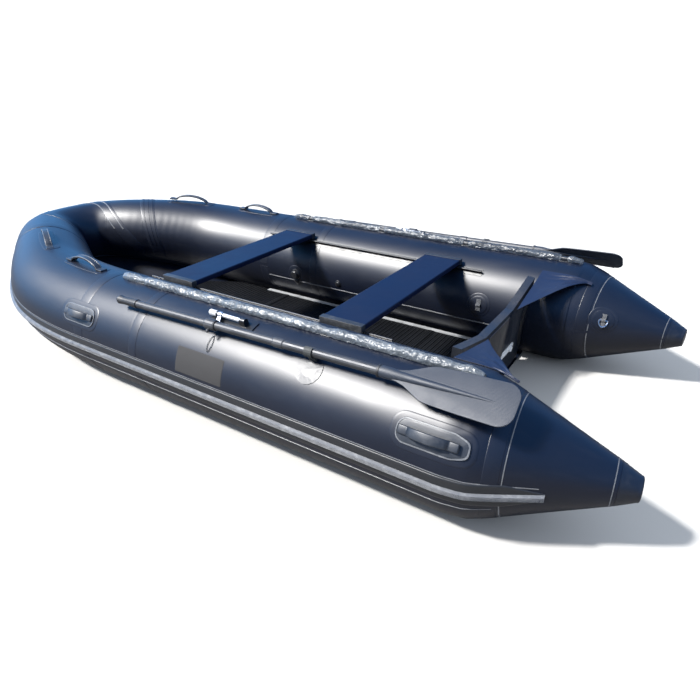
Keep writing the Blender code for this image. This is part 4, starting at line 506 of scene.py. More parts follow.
LOOKS: dict[str, Finish] = {
    "fabric": CoatedFabric(),
    "patch": CoatedFabric("patch_fabric", (0.0007, 0.0027, 0.0095), (0.0024, 0.0056, 0.0155),
                          gloss=0.40, crease=0.0015),
    "plain_patch": CoatedFabric("plain_patch", (0.0125, 0.0115, 0.0112),
                                (0.021, 0.0195, 0.019), gloss=0.78, crease=0.001),
    "cap_rubber": MouldedRubber("cap_rubber", (0.004, 0.006, 0.012), (0.013, 0.016, 0.024), 0.40),
    # Light grey: the bead's own rubber grey plus a painted highlight on its ribs; the nose tape
    # edges use it as painted highlights too.
    "strake": MouldedRubber("strake_rubber_and_highlight", (0.11, 0.115, 0.125), (0.22, 0.225, 0.235), 0.34),
    "handle": MouldedRubber("handle_rubber", (0.012, 0.016, 0.023), (0.026, 0.032, 0.042), 0.46),
    # Light grey for thin lines: partly real seam lines, partly painted highlights along the edges
    # of tapes, straps and pads.
    "light_seam_and_highlight": MouldedRubber("seam_edge", (0.10, 0.105, 0.115), (0.20, 0.205, 0.215), 0.36),
    "gusset": CoatedFabric("gusset_cloth", (0.0015, 0.0065, 0.0260), (0.0050, 0.0130, 0.0400),
                           gloss=0.46, crease=0.004),
    "band": CoatedFabric("strake_band", (0.010, 0.011, 0.013), (0.022, 0.022, 0.024),
                         gloss=0.40, crease=0.001),
    "board": RibbedBoard(),
    "stringer": BrushedMetal("stringer_metal", (0.40, 0.41, 0.42), (0.12, 0.125, 0.13),
                             0.46, 0.35),
    "transom": StainedBoard(),
    "plate": StainedBoard("streaked_plate", (0.050, 0.043, 0.037), (0.150, 0.125, 0.100), 0.42),
    "rowlock": TwoTone("rowlock_body", (0.7410, 0.5169), 0.0138, (0.60, 0.61, 0.63),
                       (0.006, 0.006, 0.007), 0.55, 0.0, (-0.5036, -0.4046), 0.44),
    "rowlock_pin": TwoTone("rowlock_pin_look", (0.7410, 0.5169), 0.5, (0.42, 0.44, 0.47),
                           (0.50, 0.51, 0.53), 0.0, 0.7, (-0.4066, 9.0), 0.44, 0.44),
    "clip": TwoTone("clip_on_pad", (0.651, 0.2555), 0.2597, (0.001, 0.003, 0.010),
                    (0.014, 0.0165, 0.0155), gloss=0.41, outer_gloss=0.66),
    "bench": PaintedPanel(),
    "rubber": MouldedRubber("rubber"),
    "bench_end": MouldedRubber("bench_end", (0.016, 0.018, 0.021), (0.055, 0.058, 0.063), 0.5),
    "rope": LaidRope(),
    "oar_shaft": BrushedMetal("oar_metal", (0.042, 0.043, 0.046), (0.070, 0.072, 0.077), 0.44,
                              0.60),
    "blade": GrainedBlade(),
    "grip": MouldedRubber("grip_rubber", (0.006, 0.006, 0.007), (0.020, 0.021, 0.023),
                          0.55, 420.0),
    "steel": BrushedMetal("steel", (0.60, 0.61, 0.63), (0.36, 0.37, 0.39), 0.22),
    "cap_white": MouldedRubber("cap_plastic", (0.72, 0.73, 0.74), (0.78, 0.79, 0.80), 0.42),
    "valve": MouldedRubber("valve_plastic", (0.007, 0.0075, 0.009), (0.026, 0.027, 0.030), 0.36),
    "valve_red": MouldedRubber("red_plastic", (0.30, 0.012, 0.014), (0.50, 0.05, 0.05), 0.3),
}
FINISHES: dict[str, bpy.types.Material] = {
    key: look.make() for key, look in LOOKS.items()}


# The inflated form


@dataclass(frozen=True)
class HullForm:
    """Sizes of the inflated tubes, which everything on them follows."""

    length: float = 3.964
    tube_radius: float = 0.2555
    half_spacing: float = 0.651
    cone_length: float = 0.484
    side_run: float = 1.885
    toe_in: float = 0.0476
    tip_radius: float = 0.0427
    bow_radius: float = 0.185
    bow_rise: float = 0.0977
    cap_length: float = 0.066
    strake_reach: float = 0.0153
    transom_share: float = 0.1066
    holder_shares: tuple[float, ...] = (0.0562, 0.332, 0.6106, 0.8865)
    full_at: tuple[float, ...] = (0.0, 0.30, 0.60, 0.85, 0.97, 1.05)
    full_share: tuple[float, ...] = (0.0, 0.30, 0.60, 0.852, 0.955, 1.0)
    bow_x: tuple[float, ...] = (0.0, 0.3272, 0.5302, 0.8081, 1.0)
    bow_y: tuple[float, ...] = (1.0, 1.0, 0.8601, 0.4785, 0.2916)
    bow_z: tuple[float, ...] = (0.0, 0.0, 0.5814, 1.0, 1.0)
    bow_taper: tuple[float, ...] = (0.0, 0.0, 0.3, 0.7, 1.0)

    @property
    def skew(self) -> float:
        """Angle of a cone's axis to the run."""
        return atan2(self.toe_in, self.cone_length)

    @property
    def stern_x(self) -> float:
        """X of the middle of a cone's end."""
        return -self.length / 2 + self.tip_radius * sin(self.skew)

    @property
    def run_start(self) -> float:
        """X where the straight run starts."""
        return self.stern_x + self.cone_length

    @property
    def run_end(self) -> float:
        """X where the straight run ends and the bow starts."""
        return self.run_start + self.side_run

    @property
    def bow_axis_x(self) -> float:
        """X of the bow tube's axis at the nose."""
        return self.length / 2 - self.bow_radius - self.strake_reach

    def run_x(self, share: float) -> float:
        """X of a share of the straight run."""
        return self.run_start + share * self.side_run


FORM = HullForm()


def spline_weights(count: int, t: float) -> Array:
    """Weights of a clamped uniform cubic spline.

    Args:
        count: number of control points.
        t: place on the spline, from 0 to 1.

    Returns:
        One weight for each control point.
    """
    spans = count - 3
    knots = [0.0] * 3 + [i / spans for i in range(spans + 1)] + [1.0] * 3
    weights = [0.0] * (len(knots) - 1)
    for i in range(len(weights)):
        last = t >= 1.0 and knots[i] < knots[i + 1] and knots[i + 1] >= 1.0
        weights[i] = 1.0 if knots[i] <= t < knots[i + 1] or last else 0.0
    for d in range(1, 4):
        for i in range(len(weights) - d):
            left, right = knots[i + d] - knots[i], knots[i + d + 1] - knots[i + 1]
            value = (t - knots[i]) / left * weights[i] if left > 0 else 0.0
            if right > 0:
                value += (knots[i + d + 1] - t) / right * weights[i + 1]
            weights[i] = value
    return np.array(weights[:count])


class TubeLoop:
    """The tube from the port cone round the bow to the starboard cone.

    A place on it is given by the distance s along it, in metres, and the angle round it, in
    degrees: 0 is outboard, 90 on top, 180 inboard and -90 underneath.
    """

    def __init__(self, form: HullForm, step: float = 0.006, bow_steps: int = 600,
                 blur: int = 15) -> None:
        """Lay out the axis and the radii.

        Args:
            form: sizes of the tubes.
            step: distance between stations on the cones and the straight runs.
            bow_steps: number of steps round the bow.
            blur: number of stations that the cones' shoulders are rounded over.
        """
        cap_x = form.stern_x + form.cap_length
        xs = np.arange(cap_x, form.run_end, step)
        share = (xs - form.stern_x) / form.cone_length
        y = form.half_spacing - form.toe_in * np.maximum(0.0, 1.0 - share)
        full = np.interp(share, form.full_at, form.full_share)
        padded = np.pad(full, blur // 2, mode="reflect", reflect_type="odd")
        full = np.convolve(padded, np.ones(blur) / blur, mode="valid")
        radius = form.tip_radius + (form.tube_radius - form.tip_radius) * full
        side = np.column_stack([xs, y, np.full_like(xs, form.tube_radius)])
        knots = [np.array(row + row[::-1]) for row in (form.bow_x, form.bow_z, form.bow_taper)]
        across = np.array(form.bow_y + tuple(-v for v in form.bow_y[::-1]))
        reach = float(spline_weights(len(across), 0.5) @ knots[0])
        bow, bow_radius = [], []
        for i in range(bow_steps + 1):
            w = spline_weights(len(across), i / bow_steps)
            bow.append((form.run_end + (form.bow_axis_x - form.run_end) * (w @ knots[0]) / reach,
                        form.half_spacing * (w @ across),
                        form.tube_radius + form.bow_rise * (w @ knots[1])))
            bow_radius.append(form.tube_radius
                              + (form.bow_radius - form.tube_radius) * (w @ knots[2]))
        other = side[::-1] * np.array([1.0, -1.0, 1.0])
        self.centres = np.vstack([side, np.array(bow), other])
        self.radii = np.concatenate([radius, np.array(bow_radius), radius[::-1]])
        steps = np.linalg.norm(np.diff(self.centres, axis=0), axis=1)
        self.marks = np.concatenate([[0.0], np.cumsum(steps)])
        self.total = float(self.marks[-1])
        self.bow_start = float(self.marks[len(side)])
        self.bow_end = float(self.marks[len(side) + bow_steps])
        along = np.gradient(self.centres, self.marks, axis=0)
        self.along = along / np.linalg.norm(along, axis=1)[:, None]
        out = -np.cross(self.along, np.array([0.0, 0.0, 1.0]))
        self.out = out / np.linalg.norm(out, axis=1)[:, None]
        self.rise = np.cross(self.along, self.out)

    def _pick(self, table: Array, s: Array) -> Array:
        """Values of a table of vectors at distances along the loop."""
        return np.stack([np.interp(s, self.marks, table[:, k]) for k in range(3)], axis=-1)

    def radius(self, s: Array | float) -> Array:
        """Radius of the tube at distances along it."""
        return np.interp(s, self.marks, self.radii)

    def points(self, s: Array, angle: Array, lift: Array | float = 0.0) -> Array:
        """Points on the tube.

        Args:
            s: distances along the loop.
            angle: angles round it, in degrees, of the same shape.
            lift: heights above the surface.

        Returns:
            Their places, with a last axis of three.
        """
        s, angle = np.broadcast_arrays(np.asarray(s, float), np.asarray(angle, float))
        turn = np.radians(angle)
        normal = (self._pick(self.out, s) * np.cos(turn)[..., None]
                  + self._pick(self.rise, s) * np.sin(turn)[..., None])
        reach = self.radius(s) + np.broadcast_to(np.asarray(lift, float), s.shape)
        return self._pick(self.centres, s) + normal * reach[..., None]

    def seat(self, s: float, angle: float, lift: float = 0.0) -> Matrix:
        """Frame on the tube: X along it, Y round it towards lower angles, Z out of it.

        Args:
            s: distance along the loop.
            angle: angle round it, in degrees.
            lift: height above the surface.

        Returns:
            The frame.
        """
        origin = Vector(self.points(np.array([s]), np.array([angle]), lift)[0])
        ahead = Vector(self._pick(self.along, np.array([s]))[0])
        top = Vector(self.points(np.array([s]), np.array([angle]), lift + 0.01)[0])
        normal = (top - origin).normalized()
        across = normal.cross(ahead).normalized()
        rows = Matrix((across.cross(normal), across, normal)).transposed().to_4x4()
        rows.translation = origin
        return rows

    def middle(self, s: Array | float) -> Array:
        """Places on the tube's axis at distances along it."""
        return self._pick(self.centres, np.atleast_1d(np.asarray(s, float)))

    def nearest(self, point: Sequence[float]) -> Pair:
        """Place on the tube that is nearest to a point.

        Args:
            point: the point.

        Returns:
            Its distance along the loop and its angle, in degrees.
        """
        away = np.asarray(point, float) - self.centres
        near = int(np.argmin(np.linalg.norm(away, axis=1)))
        angle = atan2(float(away[near] @ self.rise[near]), float(away[near] @ self.out[near]))
        return float(self.marks[near]), degrees(angle)

    def at_x(self, x: float, side: Side = Side.PORT) -> float:
        """Place on a side tube, by its X.

        Args:
            x: the X.
            side: side of the boat.

        Returns:
            Its distance along the loop.
        """
        count = int(np.searchsorted(self.marks, self.bow_start))
        s = float(np.interp(x, self.centres[:count, 0], self.marks[:count]))
        return s if side is Side.PORT else self.total - s


LOOP = TubeLoop(FORM)
HULL = "hull"
QUARTER_ABOUT_Y = Matrix.Rotation(radians(90), 4, "Y")
CLOTH_ANGLE = 60.0
MOULDED_ANGLE = 50.0
HARD_ANGLE = 40.0


# Making meshes


def clean_start() -> None:
    """Leave edit mode and deselect everything."""
    if bpy.context.mode != "OBJECT":
        bpy.ops.object.mode_set(mode="OBJECT")
    bpy.ops.object.select_all(action="DESELECT")


def started(name: str, add: Callable[..., object], **settings: object) -> Piece:
    """Start a piece as a primitive at the origin.

    Args:
        name: name of the piece.
        add: operator that adds the primitive.
        settings: the operator's settings.

    Returns:
        The new object.
    """
    clean_start()
    add(location=(0.0, 0.0, 0.0), **settings)
    obj = bpy.context.object
    obj.name = name
    return obj


def linked(name: str, data: bpy.types.ID) -> Piece:
    """Put some data into the scene as an object."""
    obj = bpy.data.objects.new(name, data)
    bpy.context.scene.collection.objects.link(obj)
    return obj


def edit_all() -> None:
    """Enter edit mode with everything selected."""
    bpy.ops.object.mode_set(mode="EDIT")
    bpy.ops.mesh.select_all(action="SELECT")


def face_out() -> None:
    """Turn all faces outwards and leave edit mode."""
    bpy.ops.mesh.select_all(action="SELECT")
    bpy.ops.mesh.normals_make_consistent(inside=False)
    bpy.ops.object.mode_set(mode="OBJECT")


def soften(obj: Piece, width: float) -> None:
    """Round the sharp edges of a piece."""
    apply(obj, "BEVEL", width=width, segments=3, limit_method="ANGLE",
          angle_limit=radians(50))


def finished(obj: Piece, finish: str,
             smooth: float = CLOTH_ANGLE, body: str = HULL) -> None:
    """Put a piece's place into its mesh, dress it and let it ride on a body.

    Args:
        obj: the piece.
        finish: its entry in FINISHES.
        smooth: largest angle between faces that still looks smooth, in degrees.
        body: the body that it moves with.
    """
    clean_start()
    obj.data.transform(obj.matrix_world)
    obj.matrix_world = Matrix()
    obj.data.materials.clear()
    obj.data.materials.append(FINISHES[finish])
    obj.select_set(True)
    bpy.context.view_layer.objects.active = obj
    bpy.ops.object.shade_smooth_by_angle(angle=radians(smooth))
    obj.select_set(False)
    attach(obj, body)


def grid(name: str, points: Array, uv: Array, ring: bool = False,
         ends: bool = False) -> Piece:
    """Mesh of a grid of points with a UV map in metres.

    Args:
        name: name of the piece.
        points: places, of shape (rows, columns, 3).
        uv: their places on the cloth, of shape (rows, columns, 2).
        ring: whether the last column joins the first one.
        ends: whether the first and last rows are closed by a fan.

    Returns:
        The new object.
    """
    rows, columns = points.shape[:2]
    bm = bmesh.new()
    layer = bm.loops.layers.uv.new("UVMap")
    verts = [[bm.verts.new(p) for p in row] for row in points]
    span = columns if ring else columns - 1
    step = float(np.median(np.diff(uv[0, :, 1]))) if ring else 0.0
    for i in range(rows - 1):
        for j in range(span):
            k = (j + 1) % columns
            face = bm.faces.new((verts[i][j], verts[i][k], verts[i + 1][k], verts[i + 1][j]))
            wrap = np.array([0.0, step * columns if k < j else 0.0])
            places = (uv[i, j], uv[i, k] + wrap, uv[i + 1, k] + wrap, uv[i + 1, j])
            for loop, place in zip(face.loops, places):
                loop[layer].uv = tuple(place)
    if ends:
        for i in (0, rows - 1):
            middle = bm.verts.new(points[i].mean(axis=0))
            for j in range(columns):
                k = (j + 1) % columns
                face = bm.faces.new((verts[i][j], verts[i][k], middle))
                for loop in face.loops:
                    loop[layer].uv = tuple(uv[i, j])
    if ring and ends:
        bmesh.ops.recalc_face_normals(bm, faces=bm.faces)
    mesh = bpy.data.meshes.new(name)
    bm.to_mesh(mesh)
    bm.free()
    return linked(name, mesh)


def tube_shell(name: str, s: Array, columns: int,
               lift: Callable[[Array, Array], Array]) -> Piece:
    """Closed length of tube.

    Args:
        name: name of the piece.
        s: stations along the loop.
        columns: number of points round the tube.
        lift: height above the plain form, by distance and angle.

    Returns:
        The new object.
    """
    angle = np.arange(columns) * 360.0 / columns - 180.0
    ss, aa = np.meshgrid(s, angle, indexing="ij")
    uv = np.stack([ss, np.radians(aa) * FORM.tube_radius], axis=-1)
    return grid(name, LOOP.points(ss, aa, lift(ss, aa)), uv, ring=True, ends=True)


def ribbon(name: str, s: Array, angle: Array, half: float | Array, thick: float,
           profile: Sequence[Pair] | None = None, low: float = -0.0015) -> Piece:
    """Closed strip that lies on the tube along a line.

    Args:
        name: name of the piece.
        s: distances of the line's points along the loop.
        angle: their angles, in degrees.
        half: half the strip's width, one value or one for each point.
        thick: its thickness.
        profile: its section as (share of the half width, share of the thickness) pairs.
        low: height of its underside above the tube.

    Returns:
        The new object.
    """
    section = profile or ((-1.0, 0.0), (-0.96, 0.75), (-0.88, 1.0), (0.0, 1.0), (0.88, 1.0),
                          (0.96, 0.75), (1.0, 0.0))
    radius = LOOP.radius(s)
    ds = np.gradient(s)
    dv = np.gradient(np.radians(angle)) * radius
    size = np.hypot(ds, dv)
    ns, nv = -dv / size, ds / size
    offset = np.outer(np.broadcast_to(half, s.shape), [p[0] for p in section])
    height = np.array([p[1] for p in section]) * thick
    ss = s[:, None] + ns[:, None] * offset
    aa = angle[:, None] + np.degrees(nv[:, None] * offset / radius[:, None])
    hh = np.broadcast_to(height, ss.shape)
    top = LOOP.points(ss, aa, hh)
    under = LOOP.points(ss, aa, np.full_like(hh, low))
    points = np.concatenate([top, under[:, ::-1]], axis=1)
    run = np.concatenate([[0.0], np.cumsum(np.hypot(np.diff(s), np.diff(np.radians(angle))
                                                    * radius[1:]))])
    width = np.concatenate([offset, offset[:, ::-1] + 2.2 * np.max(half)], axis=1)
    uv = np.stack([np.broadcast_to(run[:, None], width.shape), width], axis=-1)
    return grid(name, points, uv, ring=True, ends=True)


def patch(name: str, s: float, angle: float, outline: Sequence[Pair],
          thick: float, rings: int = 5, crown: float = 0.0) -> Piece:
    """Closed patch that lies on the tube inside an outline.

    Args:
        name: name of the piece.
        s: distance of its middle along the loop.
        angle: angle of its middle, in degrees.
        outline: (along, round) pairs in metres from the middle.
        thick: its thickness.
        rings: number of rings between the middle and the edge.
        crown: extra height of its middle.

    Returns:
        The new object.
    """
    radius = float(LOOP.radius(s))
    edge = np.array(dense(outline))
    inmost, sunk = 0.02, -0.0015
    shares = list(np.linspace(inmost, 0.93, rings)) + [0.985, 1.0, 1.0, inmost]
    lifts = [thick + crown * (1 - share * share) for share in shares[:rings]]
    lifts += [thick * 0.8, thick * 0.35, sunk, sunk]
    rows = []
    for share, height in zip(shares, lifts):
        flat = edge * share
        rows.append(LOOP.points(s + flat[:, 0], angle + np.degrees(flat[:, 1] / radius), height))
    uv = np.stack([edge * share for share in shares])
    return grid(name, np.array(rows), uv, ring=True, ends=True)


def dense(outline: Sequence[Pair], step: float = 0.006) -> list[Pair]:
    """Outline with points added.

    Args:
        outline: its corners.
        step: longest step between two points.

    Returns:
        Its corners and the points between them.
    """
    out = []
    for (x0, y0), (x1, y1) in zip(outline, [*outline[1:], outline[0]]):
        count = max(1, ceil(hypot(x1 - x0, y1 - y0) / step))
        out += [(x0 + (x1 - x0) * k / count, y0 + (y1 - y0) * k / count) for k in range(count)]
    return out


def rounded(half_x: float, half_y: float, corner: float, steps: int = 8) -> list[Pair]:
    """Outline of a rectangle with round corners, anticlockwise.

    Args:
        half_x: half its length.
        half_y: half its width.
        corner: radius of its corners.
        steps: number of steps round each corner.

    Returns:
        Its points.
    """
    out = []
    for turn, (cx, cy) in enumerate(((1, 1), (-1, 1), (-1, -1), (1, -1))):
        for k in range(steps + 1):
            a = radians(90 * turn + 90 * k / steps)
            out.append((cx * (half_x - corner) + corner * cos(a),
                        cy * (half_y - corner) + corner * sin(a)))
    return out


def circle(radius: float, steps: int = 48) -> list[Pair]:
    """Round outline, anticlockwise."""
    turns = [2 * pi * k / steps for k in range(steps)]
    return [(radius * cos(a), radius * sin(a)) for a in turns]


def crumple(places: Array, seed: int) -> Array:
    """Uneven height with sharp creases, between about -1 and 1, the same on every run.

    Args:
        places: coordinates, of shape (..., 2), in crumples.
        seed: number that picks the pattern.

    Returns:
        One height for each place.
    """
    out = [noise.turbulence(Vector((x, y, 3.7 * seed)), 3, True)
           for x, y in places.reshape(-1, 2)]
    height = np.array(out).reshape(places.shape[:-1])
    return np.clip((height.mean() - height) / (2.0 * height.std() + 1e-9), -1.2, 1.2)


# Turned and cut pieces


def turned(name: str, profile: Sequence[Pair], place: Matrix, sides: int = 48) -> Piece:
    """Round piece made by extruding a disc step by step along its axis.

    Args:
        name: name of the piece.
        profile: (radius, height) pairs from one end to the other.
        place: where its axis stands.
        sides: number of points round it.

    Returns:
        The new object, at the origin.
    """
    radius, low = profile[0]
    obj = started(name, bpy.ops.mesh.primitive_circle_add, vertices=sides, radius=radius,
                  fill_type="NGON")
    obj.data.transform(Matrix.Translation((0.0, 0.0, low)))
    edit_all()
    for (r0, z0), (r1, z1) in zip(profile, profile[1:]):
        bpy.ops.mesh.extrude_region_move(TRANSFORM_OT_translate={"value": (0.0, 0.0, z1 - z0)})
        share = r1 / r0
        bpy.ops.transform.resize(value=(share, share, 1.0), center_override=(0.0, 0.0, z1))
    face_out()
    obj.data.transform(place)
    return obj


def slab(name: str, outline: Sequence[Pair], thick: float, edge: float,
         place: Matrix) -> Piece:
    """Flat piece cut to an outline, with its edges rounded.

    Args:
        name: name of the piece.
        outline: (X, Y) pairs, anticlockwise.
        thick: its thickness, from its place upwards.
        edge: size of the rounding.
        place: where it lies.

    Returns:
        The new object, at the origin.
    """
    obj = started(name, bpy.ops.mesh.primitive_circle_add, vertices=len(outline), radius=1.0,
                  fill_type="NGON")
    for vert, (x, y) in zip(sorted(obj.data.vertices, key=lambda v: atan2(v.co.y, v.co.x)
                                   % (2 * pi)), outline):
        vert.co = (x, y, 0.0)
    edit_all()
    bpy.ops.mesh.extrude_region_move(TRANSFORM_OT_translate={"value": (0.0, 0.0, thick)})
    face_out()
    soften(obj, edge)
    obj.data.transform(place)
    return obj


def apply(obj: Piece, kind: str, **settings: object) -> None:
    """Add a modifier and apply it.

    Args:
        obj: the piece.
        kind: Blender's name of the modifier.
        settings: its properties.
    """
    clean_start()
    obj.select_set(True)
    bpy.context.view_layer.objects.active = obj
    mod = obj.modifiers.new(kind.lower(), kind)
    for key, value in settings.items():
        setattr(mod, key, value)
    bpy.ops.object.modifier_apply(modifier=mod.name)
    obj.select_set(False)


def joined(name: str, pieces: Sequence[Piece]) -> Piece:
    """One object of several pieces.

    Args:
        name: its name.
        pieces: the pieces that go into it.

    Returns:
        The object.
    """
    clean_start()
    for piece in pieces:
        piece.select_set(True)
    bpy.context.view_layer.objects.active = pieces[0]
    bpy.ops.object.join()
    pieces[0].name = name
    return pieces[0]


def strap(name: str, place: Matrix, line: Sequence[Pair], width: float,
          thick: float, edge: float, waist: float = 1.0) -> Piece:
    """Strap that follows a line in its own X and Z.

    Args:
        name: name of the piece.
        place: frame of the strap.
        line: (X, Z) pairs along the middle of its thickness.
        width: its width, along its own Y.
        thick: its thickness.
        edge: rounding of its edges.
        waist: width at its middle as a share of the whole.

    Returns:
        The new object, at the origin.
    """
    count = len(line) - 1
    obj = started(name, bpy.ops.mesh.primitive_grid_add, x_subdivisions=count,
                  y_subdivisions=1, size=1.0)
    for vert in obj.data.vertices:
        index = int(round((vert.co.x + 0.5) * count))
        x, z = line[index]
        share = 1.0 - (1.0 - waist) * sin(pi * index / count)
        vert.co = (x, copysign(width / 2 * share, vert.co.y), z)
    apply(obj, "SOLIDIFY", thickness=thick, offset=0.0)
    soften(obj, edge)
    obj.data.transform(place)
    return obj


def arch(length: float, height: float, foot: float, count: int = 22) -> list[Pair]:
    """Line of an arched strap with two flat feet.

    Args:
        length: its length.
        height: height of the arch.
        foot: length of each foot.
        count: number of steps over the arch.

    Returns:
        Its (X, Z) points.
    """
    half = length / 2
    out = [(-half, 0.0), (-half + foot * 0.55, 0.0)]
    for k in range(count + 1):
        t = k / count
        x = (-half + foot * 0.7) * (1 - 2 * t)
        out.append((x, height * sin(pi * t) ** 0.55 if 0 < t < 1 else 0.0))
    return out + [(half - foot * 0.55, 0.0), (half, 0.0)]


# The air tubes


@dataclass
class AirTubes:
    """The three air chambers with their soft dents at the seams."""

    columns: int = 120
    step: float = 0.007
    dent: float = 0.0007
    dent_reach: float = 0.030
    pucker: float = 0.0007
    pleat: float = 0.0005
    pleat_pitch: float = 0.021
    ripple: float = 0.0004
    ripple_pitch: float = 0.055
    bend_shares: Pair = (0.30, 0.70)
    bend_spread_share: float = 0.07
    inner_spread: float = 42.0
    gap: float = 0.0003
    seams_from_stern: tuple[float, ...] = (0.405, 1.975, 2.37)
    seams_from_nose: tuple[float, ...] = (0.30, 0.59)
    seam_places: list[float] = field(default_factory=list)

    def __post_init__(self) -> None:
        """Work out where the chambers are pulled in by their seams."""
        for x in self.seams_from_stern:
            s = LOOP.at_x(FORM.stern_x + x)
            self.seam_places += [s, LOOP.total - s]
        middle = LOOP.total / 2
        for away in self.seams_from_nose:
            self.seam_places += [middle + away, middle - away]

    def lift(self, s: Array, angle: Array) -> Array:
        """Height of the cloth above the plain form.

        Args:
            s: distances along the loop.
            angle: angles round it, in degrees.

        Returns:
            The heights, which are below zero in a dent.
        """
        total = np.zeros_like(s)
        turn = np.radians(angle)
        for index, place in enumerate(self.seam_places):
            near = np.exp(-((s - place) / self.dent_reach) ** 2)
            folds = np.sin(turn * (17 + index % 3) + index) * np.sin(turn * 5 + 2.1 * index)
            pleats = (np.sin((s - place) * 2 * pi / self.pleat_pitch)
                      * (0.6 + 0.4 * np.sin(3 * turn)))
            total -= near * (self.dent + self.pucker * folds + self.pleat * pleats)
        bend = np.clip((s - LOOP.bow_start) / (LOOP.bow_end - LOOP.bow_start), 0.0, 1.0)
        inner = np.exp(-((np.abs(angle) - 180.0) / self.inner_spread) ** 2)
        turns = sum(np.exp(-((bend - share) / self.bend_spread_share) ** 2)
                    for share in self.bend_shares)
        ripples = np.sin(s * 2 * pi / self.ripple_pitch + 0.6 * np.sin(turn * 7))
        return total + inner * turns * self.ripple * ripples

    def build(self) -> None:
        """Make the port, bow and starboard chambers."""
        parts = (("port", 0.0, LOOP.bow_start - self.gap),
                 ("bow", LOOP.bow_start, LOOP.bow_end),
                 ("starboard", LOOP.bow_end + self.gap, LOOP.total))
        for label, low, high in parts:
            count = int((high - low) / self.step) + 1
            piece = tube_shell("air_tube_" + label, np.linspace(low, high, count),
                               self.columns, self.lift)
            finished(piece, "fabric")
            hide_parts("chamber_" + label)


